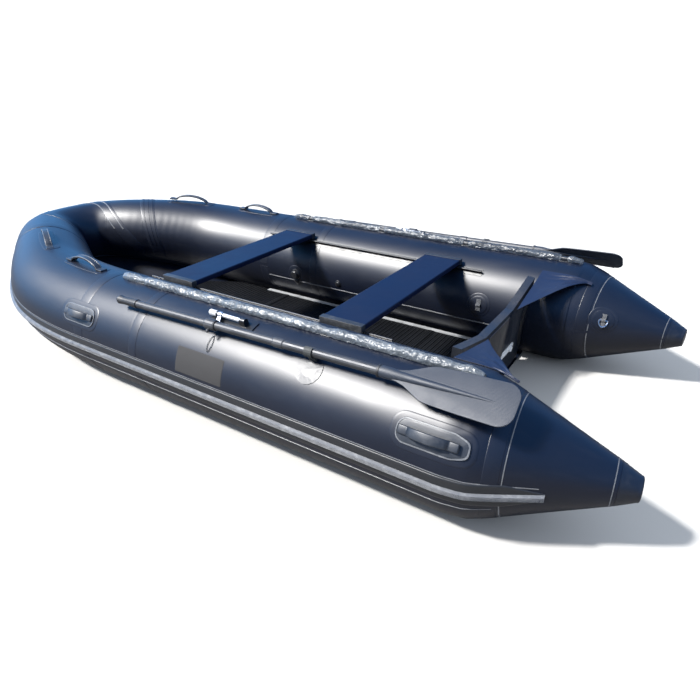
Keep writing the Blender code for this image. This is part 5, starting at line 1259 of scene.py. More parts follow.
@dataclass
class Seams:
    """Glued tapes round and along the tubes, placed by their distance from the stern or nose."""

    thick: float = 0.0009
    slant_thick: float = 0.0014
    edge_thick: float = 0.0012
    cap_thick: float = 0.0008
    welt_thick: float = 0.0016
    pleat_thick: float = 0.0030
    nose_edge_thick: float = 0.0024
    bottom_thick: float = 0.0075
    wide: float = 0.024
    narrow: float = 0.0035
    bow_seam_half: float = 0.032
    cap_seam_half: float = 0.0016
    nose_tape_half: float = 0.036
    bend_tape_half: float = 0.045
    pleat_half: float = 0.0045
    nose_edge_half: float = 0.0042
    bottom_half: float = 0.022
    cap_seam: float = 0.078
    cone_edge: float = 0.372
    cone_seam: float = 0.405
    middle_seam: float = 1.975
    bow_seam: float = 2.372
    welt_run: Pair = (0.80, 2.33)
    nose_tape: Pair = (0.196, 0.433)
    bend_tape: Pair = (0.545, 0.635)
    pleat_shifts: tuple[float, ...] = (-0.028, 0.002, 0.030)
    nose_edges: tuple[Pair, ...] = ((0.150, 0.388), (0.222, 0.452))
    bottom_gap: float = 0.03
    round_reach: float = 178.0
    slant_reach: Pair = (-60.0, 215.0)
    pleat_reach: Pair = (40.0, 190.0)
    nose_edge_reach: Pair = (70.0, 165.0)
    welt_angle: float = 194.0
    bottom_angle: float = -111.0

    def tape(self, name: str, s: Array, angle: Array, half: float, thick: float,
             finish: str) -> None:
        """Lay one tape on the tubes and dress it."""
        finished(ribbon(name, s, angle, half, thick), finish)

    def ring(self, name: str, s: float, half: float, thick: float, finish: str = "patch") -> None:
        """Make a tape round a tube at a distance along the loop."""
        angle = np.linspace(-self.round_reach, self.round_reach, 97)
        self.tape(name, np.full_like(angle, s), angle, half, thick, finish)

    def run(self, name: str, ends: Pair, angle: float, half: float,
            thick: float, finish: str = "patch") -> None:
        """Make a tape along a tube between two distances along the loop."""
        s = np.linspace(*ends, max(8, int(abs(ends[1] - ends[0]) / 0.02)))
        self.tape(name, s, np.full_like(s, angle), half, thick, finish)

    def slant(self, name: str, side: Side, places: Pair, half: float,
              reach: Pair, thick: float, finish: str = "patch") -> None:
        """Make a tape that crosses the bow tube at a slant.

        Args:
            name: name of the piece.
            side: side of the boat that it is on.
            places: distances from the nose where it passes the top and angle 170.
            half: half its width.
            reach: angles where it starts and ends.
            thick: its thickness.
            finish: its finish.
        """
        angle = np.linspace(*reach, 97)
        share = (np.clip(angle, 20.0, 200.0) - 90.0) / 80.0
        away = places[0] + (places[1] - places[0]) * share
        self.tape(name, LOOP.total / 2 - side.value * away, angle, half, thick, finish)

    def build(self) -> None:
        """Make every tape."""
        for side in Side:
            tag = side.label

            def at(x: float) -> float:
                """Distance along the loop of a place measured from the stern."""
                return LOOP.at_x(FORM.stern_x + x, side)

            self.ring(f"cone_seam_{tag}", at(self.cone_seam), self.wide, self.thick)
            # The narrow light ring beside the cone seam is a painted highlight on the tape's
            # edge.
            self.ring(f"cone_edge_{tag}_fore", at(self.cone_edge), self.narrow / 2,
                      self.edge_thick, "light_seam_and_highlight")
            self.ring(f"middle_seam_{tag}", at(self.middle_seam), self.wide, self.thick)
            self.ring(f"bow_seam_{tag}", at(self.bow_seam), self.bow_seam_half, self.thick)
            self.ring(f"cap_seam_{tag}", at(self.cap_seam), self.cap_seam_half,
                      self.cap_thick, "light_seam_and_highlight")
            # The inner welt is a light line along the inboard side: a painted highlight on the
            # seam tape's upper edge.
            low, high = self.welt_run
            self.run(f"inner_welt_{tag}", (at(low), at(high)), self.welt_angle, self.narrow,
                     self.welt_thick, "light_seam_and_highlight")
            self.slant(f"nose_tape_{tag}", side, self.nose_tape, self.nose_tape_half,
                       self.slant_reach, self.slant_thick)
            self.slant(f"bend_tape_{tag}", side, self.bend_tape, self.bend_tape_half,
                       self.slant_reach, self.slant_thick)
            if side is Side.STARBOARD:
                for k, shift in enumerate(self.pleat_shifts):
                    self.slant(f"bend_pleat_{k + 1}", side,
                               (self.bend_tape[0] + shift, self.bend_tape[1] + shift),
                               self.pleat_half, self.pleat_reach, self.pleat_thick)
            first = LOOP.at_x(FORM.run_x(FORM.transom_share) + self.bottom_gap)
            ends = (first, LOOP.total / 2) if side is Side.PORT else (
                LOOP.total / 2, LOOP.total - first)
            self.run(f"bottom_seam_{tag}", ends, self.bottom_angle, self.bottom_half,
                     self.bottom_thick)
        # Light strips across the starboard bow in the strake's light rubber: painted highlights
        # on the tape ridges.
        for k, places in enumerate(self.nose_edges):
            self.slant(f"nose_edge_{k + 1}", Side.STARBOARD, places, self.nose_edge_half,
                       self.nose_edge_reach, self.nose_edge_thick, "strake")


@dataclass
class RubbingStrake:
    """Rubber band with a raised bead round the outside of the tubes."""

    angle: float = -4.0
    band_half: float = 0.044
    band_thick: float = 0.0035
    bead_half: float = 0.012
    bead_height: float = 0.0145
    lift: float = 0.0008
    start: float = 0.2517
    low_edge: float = -20.0
    high_edge: float = 7.0
    low_trim: float = 0.14
    high_trim: float = 0.02
    line_half: float = 0.0015
    line_thick: float = 0.0016
    taper: float = 0.11

    def section(self) -> list[Pair]:
        """Section of the bead.

        Returns:
            (share of its half width, share of its height) pairs.
        """
        ribs = [(-1.0, 0.0), (-0.98, 0.34), (-0.80, 0.62)]
        for k in range(7):
            x = -0.62 + 1.24 * k / 6
            ribs += [(x - 0.05, 0.94 - 0.10 * x * x), (x + 0.04, 0.99 - 0.10 * x * x),
                     (x + 0.085, 0.88 - 0.10 * x * x)]
        return ribs + [(0.80, 0.62), (0.98, 0.34), (1.0, 0.0)]

    def line(self, extra: float = 0.0) -> tuple[Array, Array]:
        """Line that the strake follows.

        Args:
            extra: length that is left off at each end.

        Returns:
            Distances along the loop and the strake's angle at each.
        """
        first = LOOP.at_x(FORM.stern_x + self.start + extra)
        s = np.linspace(first, LOOP.total - first, 520)
        return s, np.full_like(s, self.angle)

    def build(self) -> None:
        """Make the band, the bead and the two fine edge lines."""
        s, angle = self.line()
        ends = np.minimum(s - s[0], s[-1] - s)
        taper = self.band_half * (0.30 + 0.70 * np.clip(ends / self.taper, 0.0, 1.0))
        band = ribbon("strake_band", s, angle, taper, self.band_thick, (
            (-1.0, 0.0), (-0.99, 0.45), (-0.95, 0.8), (-0.8, 1.0), (0.0, 1.0), (0.8, 1.0),
            (0.95, 0.8), (0.99, 0.45), (1.0, 0.0)), low=0.0)
        finished(band, "band", MOULDED_ANGLE)
        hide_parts("rubbing_strake")
        # The bead's light grey holds a painted highlight on its ribs.
        bead = ribbon("strake_bead", s, angle, self.bead_half, self.bead_height + self.lift,
                      self.section(), low=0.001)
        finished(bead, "strake", smooth=35.0)
        # The two fine lines are light: seam lines with painted highlights on the band's edges.
        for label, edge, trim in (("high", self.high_edge, self.high_trim),
                                  ("low", self.low_edge, self.low_trim)):
            s, angle = self.line(trim)
            fine = ribbon("strake_line_" + label, s, np.full_like(s, edge), self.line_half,
                          self.line_thick)
            finished(fine, "light_seam_and_highlight")


@dataclass
class ConeCaps:
    """Moulded caps on the ends of the stern cones."""

    edge: float = 0.008
    recess: float = 0.0004
    core_radius: float = 0.012
    dimple: float = 0.0005
    rim: float = 0.002

    def build(self) -> None:
        """Make both caps."""
        tip, back = FORM.tip_radius, FORM.tip_radius + (
            FORM.tube_radius - FORM.tip_radius) * FORM.cap_length / FORM.cone_length
        deep = FORM.cap_length - self.recess
        profile = [(self.core_radius, self.dimple), (tip * 0.55, 0.0), (tip - self.edge, 0.0)]
        for k in range(1, 7):
            a = radians(15 * k)
            profile.append((tip - self.edge + self.edge * sin(a),
                            self.edge - self.edge * cos(a)))
        for k in range(1, 9):
            share = k / 8
            profile.append((tip + (back - tip) * share, self.edge + (deep - self.edge) * share))
        profile.append((back - self.rim, deep))
        for side in Side:
            axis = Matrix.Rotation(FORM.skew, 4, "Z") @ QUARTER_ABOUT_Y
            place = Matrix.Translation((FORM.stern_x, FORM.half_spacing - FORM.toe_in,
                                        FORM.tube_radius)) @ axis
            if side is Side.STARBOARD:
                place = Matrix.Diagonal((1, -1, 1, 1)) @ place
            cap = turned("cone_cap_cover_" + side.label, profile, place, 96)
            if side is Side.STARBOARD:
                cap.data.flip_normals()
            finished(cap, "cap_rubber", MOULDED_ANGLE)
            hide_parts("cone_cap_" + side.label)


# The underside and the stern


@dataclass
class Underside:
    """Bottom skin of coated fabric and the inflated keel above it."""

    start_gap: float = 0.022
    nose_gap: float = 0.03
    lift_share: float = 1.31
    angle: float = -110.0
    clear: float = 0.002
    thick: float = 0.004
    low: float = 0.001
    power: float = 1.6

    def skin(self) -> None:
        """Make the bottom skin as one smooth sheet between the tubes."""
        start = FORM.run_x(FORM.transom_share) + self.start_gap
        s = np.linspace(LOOP.at_x(start), LOOP.total / 2 - self.nose_gap, 90)
        rail = LOOP.points(s, np.full_like(s, self.angle), self.clear + self.thick)
        lift_x = FORM.run_x(self.lift_share)
        axis = LOOP.middle(s)
        ahead = np.maximum(0.0, axis[:, 0] - lift_x) / (FORM.bow_axis_x - lift_x)
        low = self.low + (rail[:, 2] - self.low) * ahead ** 2
        share = np.linspace(1.0, -1.0, 49)
        x = np.broadcast_to(rail[:, :1], (len(s), len(share)))
        y = rail[:, 1:2] * share
        z = low[:, None] + (rail[:, 2:3] - low[:, None]) * np.abs(share) ** self.power
        top = np.stack([x, y, z], axis=-1)
        uv = np.stack([x, y], axis=-1)
        obj = grid("bottom_cloth", top, uv)
        bm = bmesh.new()
        bm.from_mesh(obj.data)
        bmesh.ops.recalc_face_normals(bm, faces=bm.faces)
        if sum(f.normal.z for f in bm.faces) > 0:
            bmesh.ops.reverse_faces(bm, faces=bm.faces)
        bm.to_mesh(obj.data)
        bm.free()
        apply(obj, "SOLIDIFY", thickness=self.thick * 0.7, offset=-1.0)
        finished(obj, "patch")
        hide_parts("bottom_skin")

    def keel(self) -> None:
        """Make the inflated keel under the floor boards."""
        low, high = (Vector(v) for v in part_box("keel_tube"))
        centre, half = (low + high) / 2, (high - low) / 2
        t = np.linspace(-1.0, 1.0, 60)
        turn = np.linspace(0.0, 2 * pi, 32, endpoint=False)
        full = np.clip((1 - np.abs(t) ** 5.0), 0.0, 1.0) ** 0.5
        full = np.maximum(full, 0.04)
        x = centre.x + half.x * t[:, None] * np.ones_like(turn)
        y = centre.y + half.y * full[:, None] * np.cos(turn)
        z = centre.z + half.z * full[:, None] * np.sin(turn)
        uv = np.stack(np.broadcast_arrays(x, turn[None, :] * half.y), axis=-1)
        obj = grid("keel_cloth", np.stack([x, y, z], axis=-1), uv, ring=True, ends=True)
        finished(obj, "patch")
        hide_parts("keel_tube")


@dataclass
class Gusset:
    """Loose web of cloth between the transom's shoulder and a tube."""

    side: Side
    length: float = 0.235
    angle: float = 118.0
    inner_y: float = 0.177
    shoulder_y: float = 0.4400
    top: float = 0.463
    low: float = 0.405
    thick: float = 0.0022
    transom_half: float = 0.0175
    holder_step: float = 0.0083
    touch_lift: float = 0.004
    fold: float = 0.0035
    sag: float = 0.002

    def build(self) -> None:
        """Make the web with its folds."""
        fore = FORM.run_x(FORM.transom_share) - self.transom_half - self.holder_step
        t = np.linspace(0.0, 1.0, 44)
        w = np.linspace(0.0, 1.0, 52)
        turn = radians(self.angle)
        rows = []
        for share in t:
            x = fore - self.length * share
            s = LOOP.at_x(x)
            axis = LOOP.middle(s)[0]
            reach = float(LOOP.radius(s)) + self.touch_lift
            touch = np.array([x, axis[1] + reach * cos(turn),
                              axis[2] + reach * sin(turn)])
            width = max((1.0 - share) ** 1.3, 0.05)
            shoulder = np.array([x, self.shoulder_y, self.top])
            inner = np.array([x, self.inner_y, self.low])
            line = []
            for share_w in w:
                if share_w < 0.5:
                    place = inner + (shoulder - inner) * share_w / 0.5
                else:
                    place = shoulder + (touch - shoulder) * (share_w - 0.5) / 0.5
                line.append(touch + (place - touch) * width)
            rows.append(line)
        points = np.array(rows)
        for _ in range(5):
            points[:, 1:-1] = 0.5 * points[:, 1:-1] + 0.25 * (points[:, 2:] + points[:, :-2])
        tt, ww = np.meshgrid(t, w, indexing="ij")
        fan = np.sin((ww * 9.0 + tt * 2.5) * pi) * tt * (1 - ww) * ww * 4
        uneven = crumple(np.stack([tt * 1.6, ww * 2.2], axis=-1), 11)
        held = np.minimum(1.0, 6 * np.minimum(tt + 0.02, 1.02 - ww))
        points[..., 2] += ((self.fold * fan + self.fold * uneven * (0.3 + tt)) * held
                           - self.sag * held)
        if self.side is Side.STARBOARD:
            points[..., 1] *= -1
        uv = np.stack([points[..., 0], points[..., 1]], axis=-1)
        obj = grid("gusset_cloth_" + self.side.label, points, uv)
        apply(obj, "SOLIDIFY", thickness=self.thick, offset=0.0)
        finished(obj, "gusset")
        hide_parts("gusset_" + self.side.label)


# Lines, film and handles


@dataclass
class GrabLine:
    """Rope along a tube's top, through four moulded holders."""

    side: Side
    level: float = 0.0105
    sag: float = 0.0015
    tail: float = 0.045
    hump_length: float = 0.04
    rope: float = 0.0045
    angle: float = 90.0
    pad: Triple = (0.035, 0.021, 0.020)
    pad_thick: float = 0.003
    pad_crown: float = 0.0008
    sag_shares: tuple[float, ...] = (0.12, 0.5, 0.88)

    def holders(self) -> None:
        """Make the four holders, each a pad with a hump over the rope."""
        for k, share in enumerate(FORM.holder_shares):
            s = LOOP.at_x(FORM.run_x(share), self.side)
            name = f"line_holder_{self.side.label}_{k + 1}"
            pad = patch(name + "_pad", s, self.angle, rounded(*self.pad), self.pad_thick,
                        crown=self.pad_crown)
            place = LOOP.seat(s, self.angle, self.level) @ QUARTER_ABOUT_Y
            half = self.hump_length / 2
            hump = turned(name + "_hump", [
                (0.0052, -half - 0.002), (0.0072, -half - 0.001), (0.0088, -half + 0.002),
                (0.0102, -half + 0.008), (0.0107, 0.0), (0.0102, half - 0.008),
                (0.0088, half - 0.002), (0.0072, half + 0.001), (0.0052, half + 0.002)],
                place, 32)
            finished(pad, "rubber", MOULDED_ANGLE)
            finished(hump, "rubber", MOULDED_ANGLE)

    def line(self) -> tuple[Array, Array]:
        """Line that the rope follows.

        Returns:
            Distances along the loop and the rope's height at each.
        """
        places = [FORM.run_x(share) for share in FORM.holder_shares]
        straight = self.hump_length / 2 + self.rope
        marks = [(places[0] - straight - self.tail, self.level - self.sag)]
        for here, there in zip(places, places[1:] + [0.0]):
            marks += [(here - straight, self.level), (here + straight, self.level)]
            if there:
                for share in self.sag_shares:
                    marks.append((here + straight + (there - here - 2 * straight) * share,
                                  self.level - self.sag))
        marks.append((places[-1] + straight + self.tail, self.level - self.sag))
        xs = np.linspace(marks[0][0], marks[-1][0], 330)
        heights = np.interp(xs, [m[0] for m in marks], [m[1] for m in marks])
        return np.array([LOOP.at_x(x, self.side) for x in xs]), heights

    def build(self) -> None:
        """Make the rope and its holders."""
        self.holders()
        s, heights = self.line()
        centres = LOOP.points(s, np.full_like(s, self.angle), heights)
        turn = np.linspace(0.0, 2 * pi, 14, endpoint=False)
        across = np.array([0.0, 1.0, 0.0])
        up = np.array([0.0, 0.0, 1.0])
        points = (centres[:, None, :] + self.rope * (np.cos(turn)[:, None] * across
                                                     + np.sin(turn)[:, None] * up))
        uv = np.stack(np.broadcast_arrays(s[:, None], turn[None, :] * self.rope), axis=-1)
        obj = grid("grab_rope_" + self.side.label, points, uv, ring=True, ends=True)
        finished(obj, "rope")
        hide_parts("grab_line_" + self.side.label)


@dataclass
class FilmCover:
    """Crinkled clear film rolled loosely over a grab line."""

    side: Side
    start: float = 0.50
    end: float = 2.287
    half: float = 0.022
    height: float = 0.030
    angle: float = 90.0
    low_angle: float = -30.0
    high_angle: float = 210.0
    lift: float = 0.003
    pinch: float = 0.22
    pinch_reach: float = 0.030
    close_run: float = 0.05
    crumples: Triple = (0.060, 0.022, 0.009)
    take_up: float = 1.08
    seed: int = 5
    look: ClearFilm = ClearFilm()

    def build(self) -> None:
        """Make the roll of film."""
        s0, s1 = (LOOP.at_x(FORM.stern_x + x, self.side) for x in (self.start, self.end))
        s = np.linspace(s0, s1, 760)
        turn = np.linspace(radians(self.low_angle), radians(self.high_angle), 52)
        ss, tt = np.meshgrid(s, turn, indexing="ij")
        run = np.abs(ss - s0)
        span = abs(s1 - s0)
        big, mid, fine = (
            crumple(np.stack([run / size, tt * around], axis=-1), self.seed + k)
            for k, (size, around) in enumerate(zip(self.crumples, (0.8, 1.4, 2.6))))
        swell = 0.97 + 0.10 * big + 0.045 * mid + 0.012 * fine
        close = np.clip(np.minimum(run, span - run) / self.close_run, 0.0, 1.0) ** 0.5
        swell *= 0.55 + 0.45 * close
        places = [LOOP.at_x(FORM.run_x(share), self.side) for share in FORM.holder_shares]
        for place in places:
            swell *= 1.0 - self.pinch * np.exp(-((ss - place) / self.pinch_reach) ** 2)
        across = -np.cos(tt) * self.half * swell
        high = np.maximum(0.0012, self.lift + (self.height - self.lift) * np.sin(tt) * swell)
        high = np.where(np.sin(tt) < 0, 0.0014 + 0.0012 * (1 + mid), high)
        aa = self.angle + np.degrees(across / FORM.tube_radius)
        points = LOOP.points(ss, aa, high)
        arc = np.cumsum(np.concatenate([[0.0], np.full(len(turn) - 1, self.half * 0.1)]))
        uv = np.stack(np.broadcast_arrays(run, arc[None, :]), axis=-1)
        obj = grid("film_cover_" + self.side.label, points, uv)
        shown = places if self.look.thinnest < 0.5 else ()
        look = replace(self.look, name="clear_film_" + self.side.label,
                       windows=tuple(abs(place - s0) for place in shown))
        FINISHES[look.name] = look.make()
        finished(obj, look.name, smooth=80.0)


@dataclass
class StrapHandles:
    """Strap handles on the bow's top and moulded ones on the tubes' outer sides."""

    bow_length: float = 0.31
    bow_width: float = 0.036
    bow_height: float = 0.042
    bow_bar: float = 0.008
    bow_foot: float = 0.065
    bow_lift: float = 0.003
    side_shares: Pair = (0.052, 1.028)
    side_angle: float = 30.0
    side_length: float = 0.225
    side_height: float = 0.036
    side_bar: float = 0.010
    side_width: float = 0.030
    pad_half: float = 0.052
    pad_thick: float = 0.004

    def bow(self, side: Side, label: str) -> None:
        """Make one handle on the bow tube's top.

        Args:
            side: side of the boat.
            label: aft or fore.
        """
        tag = f"{side.label}_{label}"
        node = "bow_handle_" + tag
        low, high = (np.array(v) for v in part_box(node))
        s = LOOP.nearest((low + high) / 2)[0]
        place = LOOP.seat(s, 90.0, self.bow_lift + self.bow_bar / 2)
        line = arch(self.bow_length, self.bow_height - self.bow_bar, self.bow_foot)
        handle = strap("bow_strap_" + tag, place, line, self.bow_width, self.bow_bar,
                       0.0022, 0.86)
        finished(handle, "handle", HARD_ANGLE)
        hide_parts(node)
        # Two light strips along the strap's edges: painted highlights on them.
        for k, way in enumerate((-1.0, 1.0)):
            raised = [(x, z + self.bow_bar / 2) for x, z in line[2:-2]]
            edge_highlight = strap(f"bow_piping_{tag}_{k + 1}",
                           place @ Matrix.Translation((0.0, way * self.bow_width * 0.37, 0.0)),
                           raised, 0.0038, 0.0034, 0.0012)
            finished(edge_highlight, "light_seam_and_highlight", HARD_ANGLE)
        outline = patch("bow_pad_" + tag, s, 90.0, rounded(
            self.bow_length / 2 + 0.014, self.bow_width / 2 + 0.022, 0.030), 0.0016)
        finished(outline, "patch", MOULDED_ANGLE)

    def side_handle(self, side: Side, share: float, label: str) -> None:
        """Make one handle with its pad on a tube's outer side.

        Args:
            side: side of the boat.
            share: its place as a share of the run.
            label: aft or fore.
        """
        tag = f"{side.label}_{label}"
        s = LOOP.at_x(FORM.run_x(share), side)
        half = self.side_length / 2
        flange = self.pad_half - 0.009
        pad = patch("side_pad_" + tag, s, self.side_angle,
                    rounded(half, flange, 0.036), self.pad_thick)
        rim = patch("side_rim_" + tag, s, self.side_angle,
                    rounded(half + 0.020, self.pad_half + 0.010, 0.050), 0.0014)
        finished(pad, "handle", MOULDED_ANGLE)
        finished(rim, "patch", MOULDED_ANGLE)
        # Light rim round the pad: a raised lip, painted light as a highlight on its edge.
        turns = np.array(dense(rounded(half - 0.004, flange - 0.004, 0.032), 0.008))
        turns = np.vstack([turns, turns[:1]])
        lip = ribbon("side_lip_" + tag, s + turns[:, 0],
                     self.side_angle + np.degrees(turns[:, 1] / FORM.tube_radius), 0.0022,
                     self.pad_thick + 0.0016, low=0.001)
        finished(lip, "light_seam_and_highlight", MOULDED_ANGLE)
        place = LOOP.seat(s, self.side_angle, self.pad_thick)
        line = arch(self.side_length - 0.02, self.side_height - self.side_bar, 0.05)
        bar = strap("side_grip_" + tag, place, [
            (x, z + self.side_bar / 2 - 0.001) for x, z in line], self.side_width,
            self.side_bar, 0.004, 1.12)
        finished(bar, "handle", smooth=45.0)
        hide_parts("side_handle_" + tag)

    def build(self) -> None:
        """Make all eight handles."""
        for side in Side:
            for label in ("aft", "fore"):
                self.bow(side, label)
            for share, label in zip(self.side_shares, ("aft", "fore")):
                self.side_handle(side, share, label)


# Valves, rings and patches


@dataclass
class Fittings:
    """Valve bodies, ring mounts and relief fittings on the tubes."""

    valve_radius: float = 0.034
    ring_share: float = 0.66
    ring_angle: float = 160.0
    bow_ring_angle: float = -48.0
    patch_radius: float = 0.048
    patch_thick: float = 0.003
    loop_width: float = 0.024
    loop_wall: float = 0.0022
    loop_centre: float = 0.0078
    ring_hole: float = 0.0040
    relief_places: tuple[tuple[float, float, str], ...] = (
        (2.106, 194.0, "fore"), (1.789, 184.5, "aft"))
    inner_webbing: Pair = (0.92, 172.0)

    def valve(self, name: str) -> None:
        """Make a valve's body under its cap, with its flange and its patch.

        Args:
            name: port, starboard or bow.
        """
        low, high = (np.array(v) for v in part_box("valve_cap_" + name))
        s, angle = LOOP.nearest((low + high) / 2)
        r = self.valve_radius
        body = turned("valve_body_" + name, [
            (r, -0.004), (r, 0.0035), (r - 0.0015, 0.0055), (r - 0.006, 0.0060),
            (r - 0.0085, 0.0078), (0.0215, 0.0079), (0.0185, 0.0079), (0.0180, 0.0040),
            (0.002, 0.0040)], LOOP.seat(s, angle), 64)
        finished(body, "valve", HARD_ANGLE)
        base = patch("valve_patch_" + name, s, angle, circle(r + 0.022), 0.0012)
        finished(base, "patch")

    def relief(self, name: str, s: float, angle: float) -> None:
        """Make a small round relief fitting on the inner side.

        Args:
            name: end of the piece's name.
            s: distance of the fitting along the loop.
            angle: its angle round the tube, in degrees.
        """
        disc = turned("relief_valve_" + name, [
            (0.021, -0.003), (0.021, 0.002), (0.0195, 0.0035), (0.014, 0.0040),
            (0.0125, 0.0072), (0.0105, 0.0082), (0.003, 0.0082)], LOOP.seat(s, angle), 48)
        finished(disc, "valve", HARD_ANGLE)

    def ring_mount(self, name: str, s: float, angle: float) -> None:
        """Make the patch and the webbing loop that hold a ring.

        Args:
            name: end of the pieces' names.
            s: distance of the mount along the loop.
            angle: its angle round the tube, in degrees.
        """
        for label, radius, thick in (("", self.patch_radius, self.patch_thick),
                                     ("_under", self.patch_radius + 0.014, 0.0013)):
            base = patch(f"ring_patch{label}_{name}", s, angle, circle(radius), thick)
            finished(base, "patch")
        flat = self.patch_thick + self.loop_wall / 2 - 0.0004
        bend = self.ring_hole + self.loop_wall / 2
        line = [(-0.030, flat), (-0.018, flat), (-bend - 0.004, flat + 0.0004)]
        for k in range(13):
            a = radians(200 - 220 * k / 12)
            line.append((bend * cos(a), self.loop_centre + bend * sin(a)))
        line += [(bend + 0.004, flat + 0.0004), (0.018, flat), (0.030, flat)]
        place = LOOP.seat(s, angle) @ Matrix.Rotation(radians(90), 4, "Z")
        loop = strap("ring_webbing_" + name, place, line, self.loop_width, self.loop_wall, 0.0004)
        finished(loop, "rope", MOULDED_ANGLE)

    def build(self) -> None:
        """Make every fitting."""
        for name in ("port", "starboard", "bow"):
            self.valve(name)
        for side in Side:
            for x, angle, label in self.relief_places:
                self.relief(f"{side.label}_{label}", LOOP.at_x(FORM.stern_x + x, side), angle)
            x = FORM.stern_x + self.ring_share * FORM.cone_length
            self.ring_mount("stern_" + side.label, LOOP.at_x(x, side), self.ring_angle)
            s = LOOP.at_x(FORM.stern_x + self.inner_webbing[0], side)
            self.ring_mount("inner_" + side.label, s, self.inner_webbing[1])
        self.ring_mount("bow", LOOP.total / 2, self.bow_ring_angle)


@dataclass
class NamePatch:
    """Plain rectangular patch on each tube's outer side."""

    start: float = 1.445
    end: float = 1.70
    angle: float = 22.0
    half: float = 0.0535

    def build(self) -> None:
        """Make the port and starboard patches, left bare."""
        for side in Side:
            s = LOOP.at_x(FORM.stern_x + (self.start + self.end) / 2, side)
            obj = patch("plain_patch_" + side.label, s, self.angle, rounded(
                (self.end - self.start) / 2, self.half, 0.006), 0.0011)
            finished(obj, "plain_patch")


# Oars and benches


@dataclass
class OnOar:
    """Something on an oar, in a frame with X along the shaft to the grip and Z off the tube."""

    side: Side
    place: Matrix

    @property
    def body(self) -> str:
        """Body that the oar is."""
        return self.side.label + "_oar"


@dataclass
class OarBlade(OnOar):
    """Flat moulded blade with round corners and a spine that runs out to a point."""

    length: float = 0.40
    half_width: float = 0.0735
    thick: float = 0.005
    socket_radius: float = 0.0205
    socket_length: float = 0.055
    spine_length: float = 0.335
    shaft_aft: float = 0.795
    shaft_radius: float = 0.0165
    along_shares: tuple[float, ...] = (0.0, 0.05, 0.12, 0.20, 0.28, 0.34, 0.60, 0.88)
    width_shares: tuple[float, ...] = (0.27, 0.30, 0.40, 0.62, 0.84, 0.90, 0.97, 1.0)

    def outline(self) -> list[Pair]:
        """Outline of the blade, anticlockwise.

        Returns:
            Its points in the oar's own X and Y.
        """
        root, tip = -self.shaft_aft, -self.shaft_aft - self.length
        upper = [(root + (tip - root) * x, self.half_width * w)
                 for x, w in zip(self.along_shares, self.width_shares)]
        corner = self.length * 0.12
        for k in range(1, 10):
            a = radians(90 + 10 * k)
            upper.append((tip + corner + corner * cos(a),
                          self.half_width - corner + corner * sin(a)))
        return upper + [(x, -y) for x, y in upper[::-1]]

    def build(self) -> None:
        """Make the blade."""
        flat = slab("blade_plate", self.outline(), self.thick, 0.0018,
                    Matrix.Translation((0.0, 0.0, -self.thick / 2)))
        front, root = -self.shaft_aft + self.socket_length, -self.shaft_aft
        profile = [(self.shaft_radius, front), (self.socket_radius * 0.95, front),
                   (self.socket_radius, front - 0.006), (self.socket_radius, root + 0.004)]
        for k in range(1, 15):
            t = k / 14
            profile.append((self.shaft_radius * (1 - t) ** 0.8 * 1.05 + self.thick * 0.55 * t,
                            root - self.spine_length * t))
        spine = turned("blade_spine", profile, QUARTER_ABOUT_Y, 32)
        obj = joined("oar_blade_" + self.side.label, [flat, spine])
        obj.data.transform(self.place)
        finished(obj, "blade", smooth=38.0, body=self.body)
        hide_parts(f"oar_{self.side.label}_blade")


@dataclass
class ShaftTrim(OnOar):
    """Thin ring round an oar's blade socket, and the wire loop that hangs at its rowlock."""

    radius: float = 0.0205
    ring_at: float = -0.746
    wire: float = 0.0014
    keeper_half: Pair = (0.011, 0.033)
    keeper_middle: Pair = (0.0, 0.058)
    height: float = 0.045
    lift: float = 0.0030

    def build(self) -> None:
        """Make the ring."""
        r, x = self.radius, self.ring_at
        ring = turned("shaft_ring_" + self.side.label, [
            (r - 0.001, x - 0.005), (r + 0.0012, x - 0.0045), (r + 0.0018, x - 0.002),
            (r + 0.0018, x + 0.002), (r + 0.0012, x + 0.0045), (r - 0.001, x + 0.005)],
            QUARTER_ABOUT_Y, 40)
        ring.data.transform(self.place)
        finished(ring, "grip", HARD_ANGLE, self.body)

    def keeper(self) -> None:
        """Make the wire loop that hangs from the rowlock onto the tube."""
        share = 0.05
        loop = started("keeper_wire_" + self.side.label, bpy.ops.mesh.primitive_torus_add,
                       major_radius=1.0, minor_radius=share, major_segments=64,
                       minor_segments=10)
        edit_all()
        face_out()
        (half_x, half_y), (mid_x, mid_y) = self.keeper_half, self.keeper_middle
        for v in loop.data.vertices:
            length = hypot(v.co.x, v.co.y)
            out = (length - 1.0) / share * self.wire
            x, y = v.co.x / length, v.co.y / length
            pinch = 1.0 - 0.35 * max(0.0, -y)
            across = mid_y + y * (half_y + out)
            sink = across * across / (2 * FORM.tube_radius)
            v.co = (mid_x + x * (half_x * pinch + out), across,
                    v.co.z / share * self.wire + self.lift - self.height - sink)
        loop.data.transform(self.place)
        finished(loop, "valve")


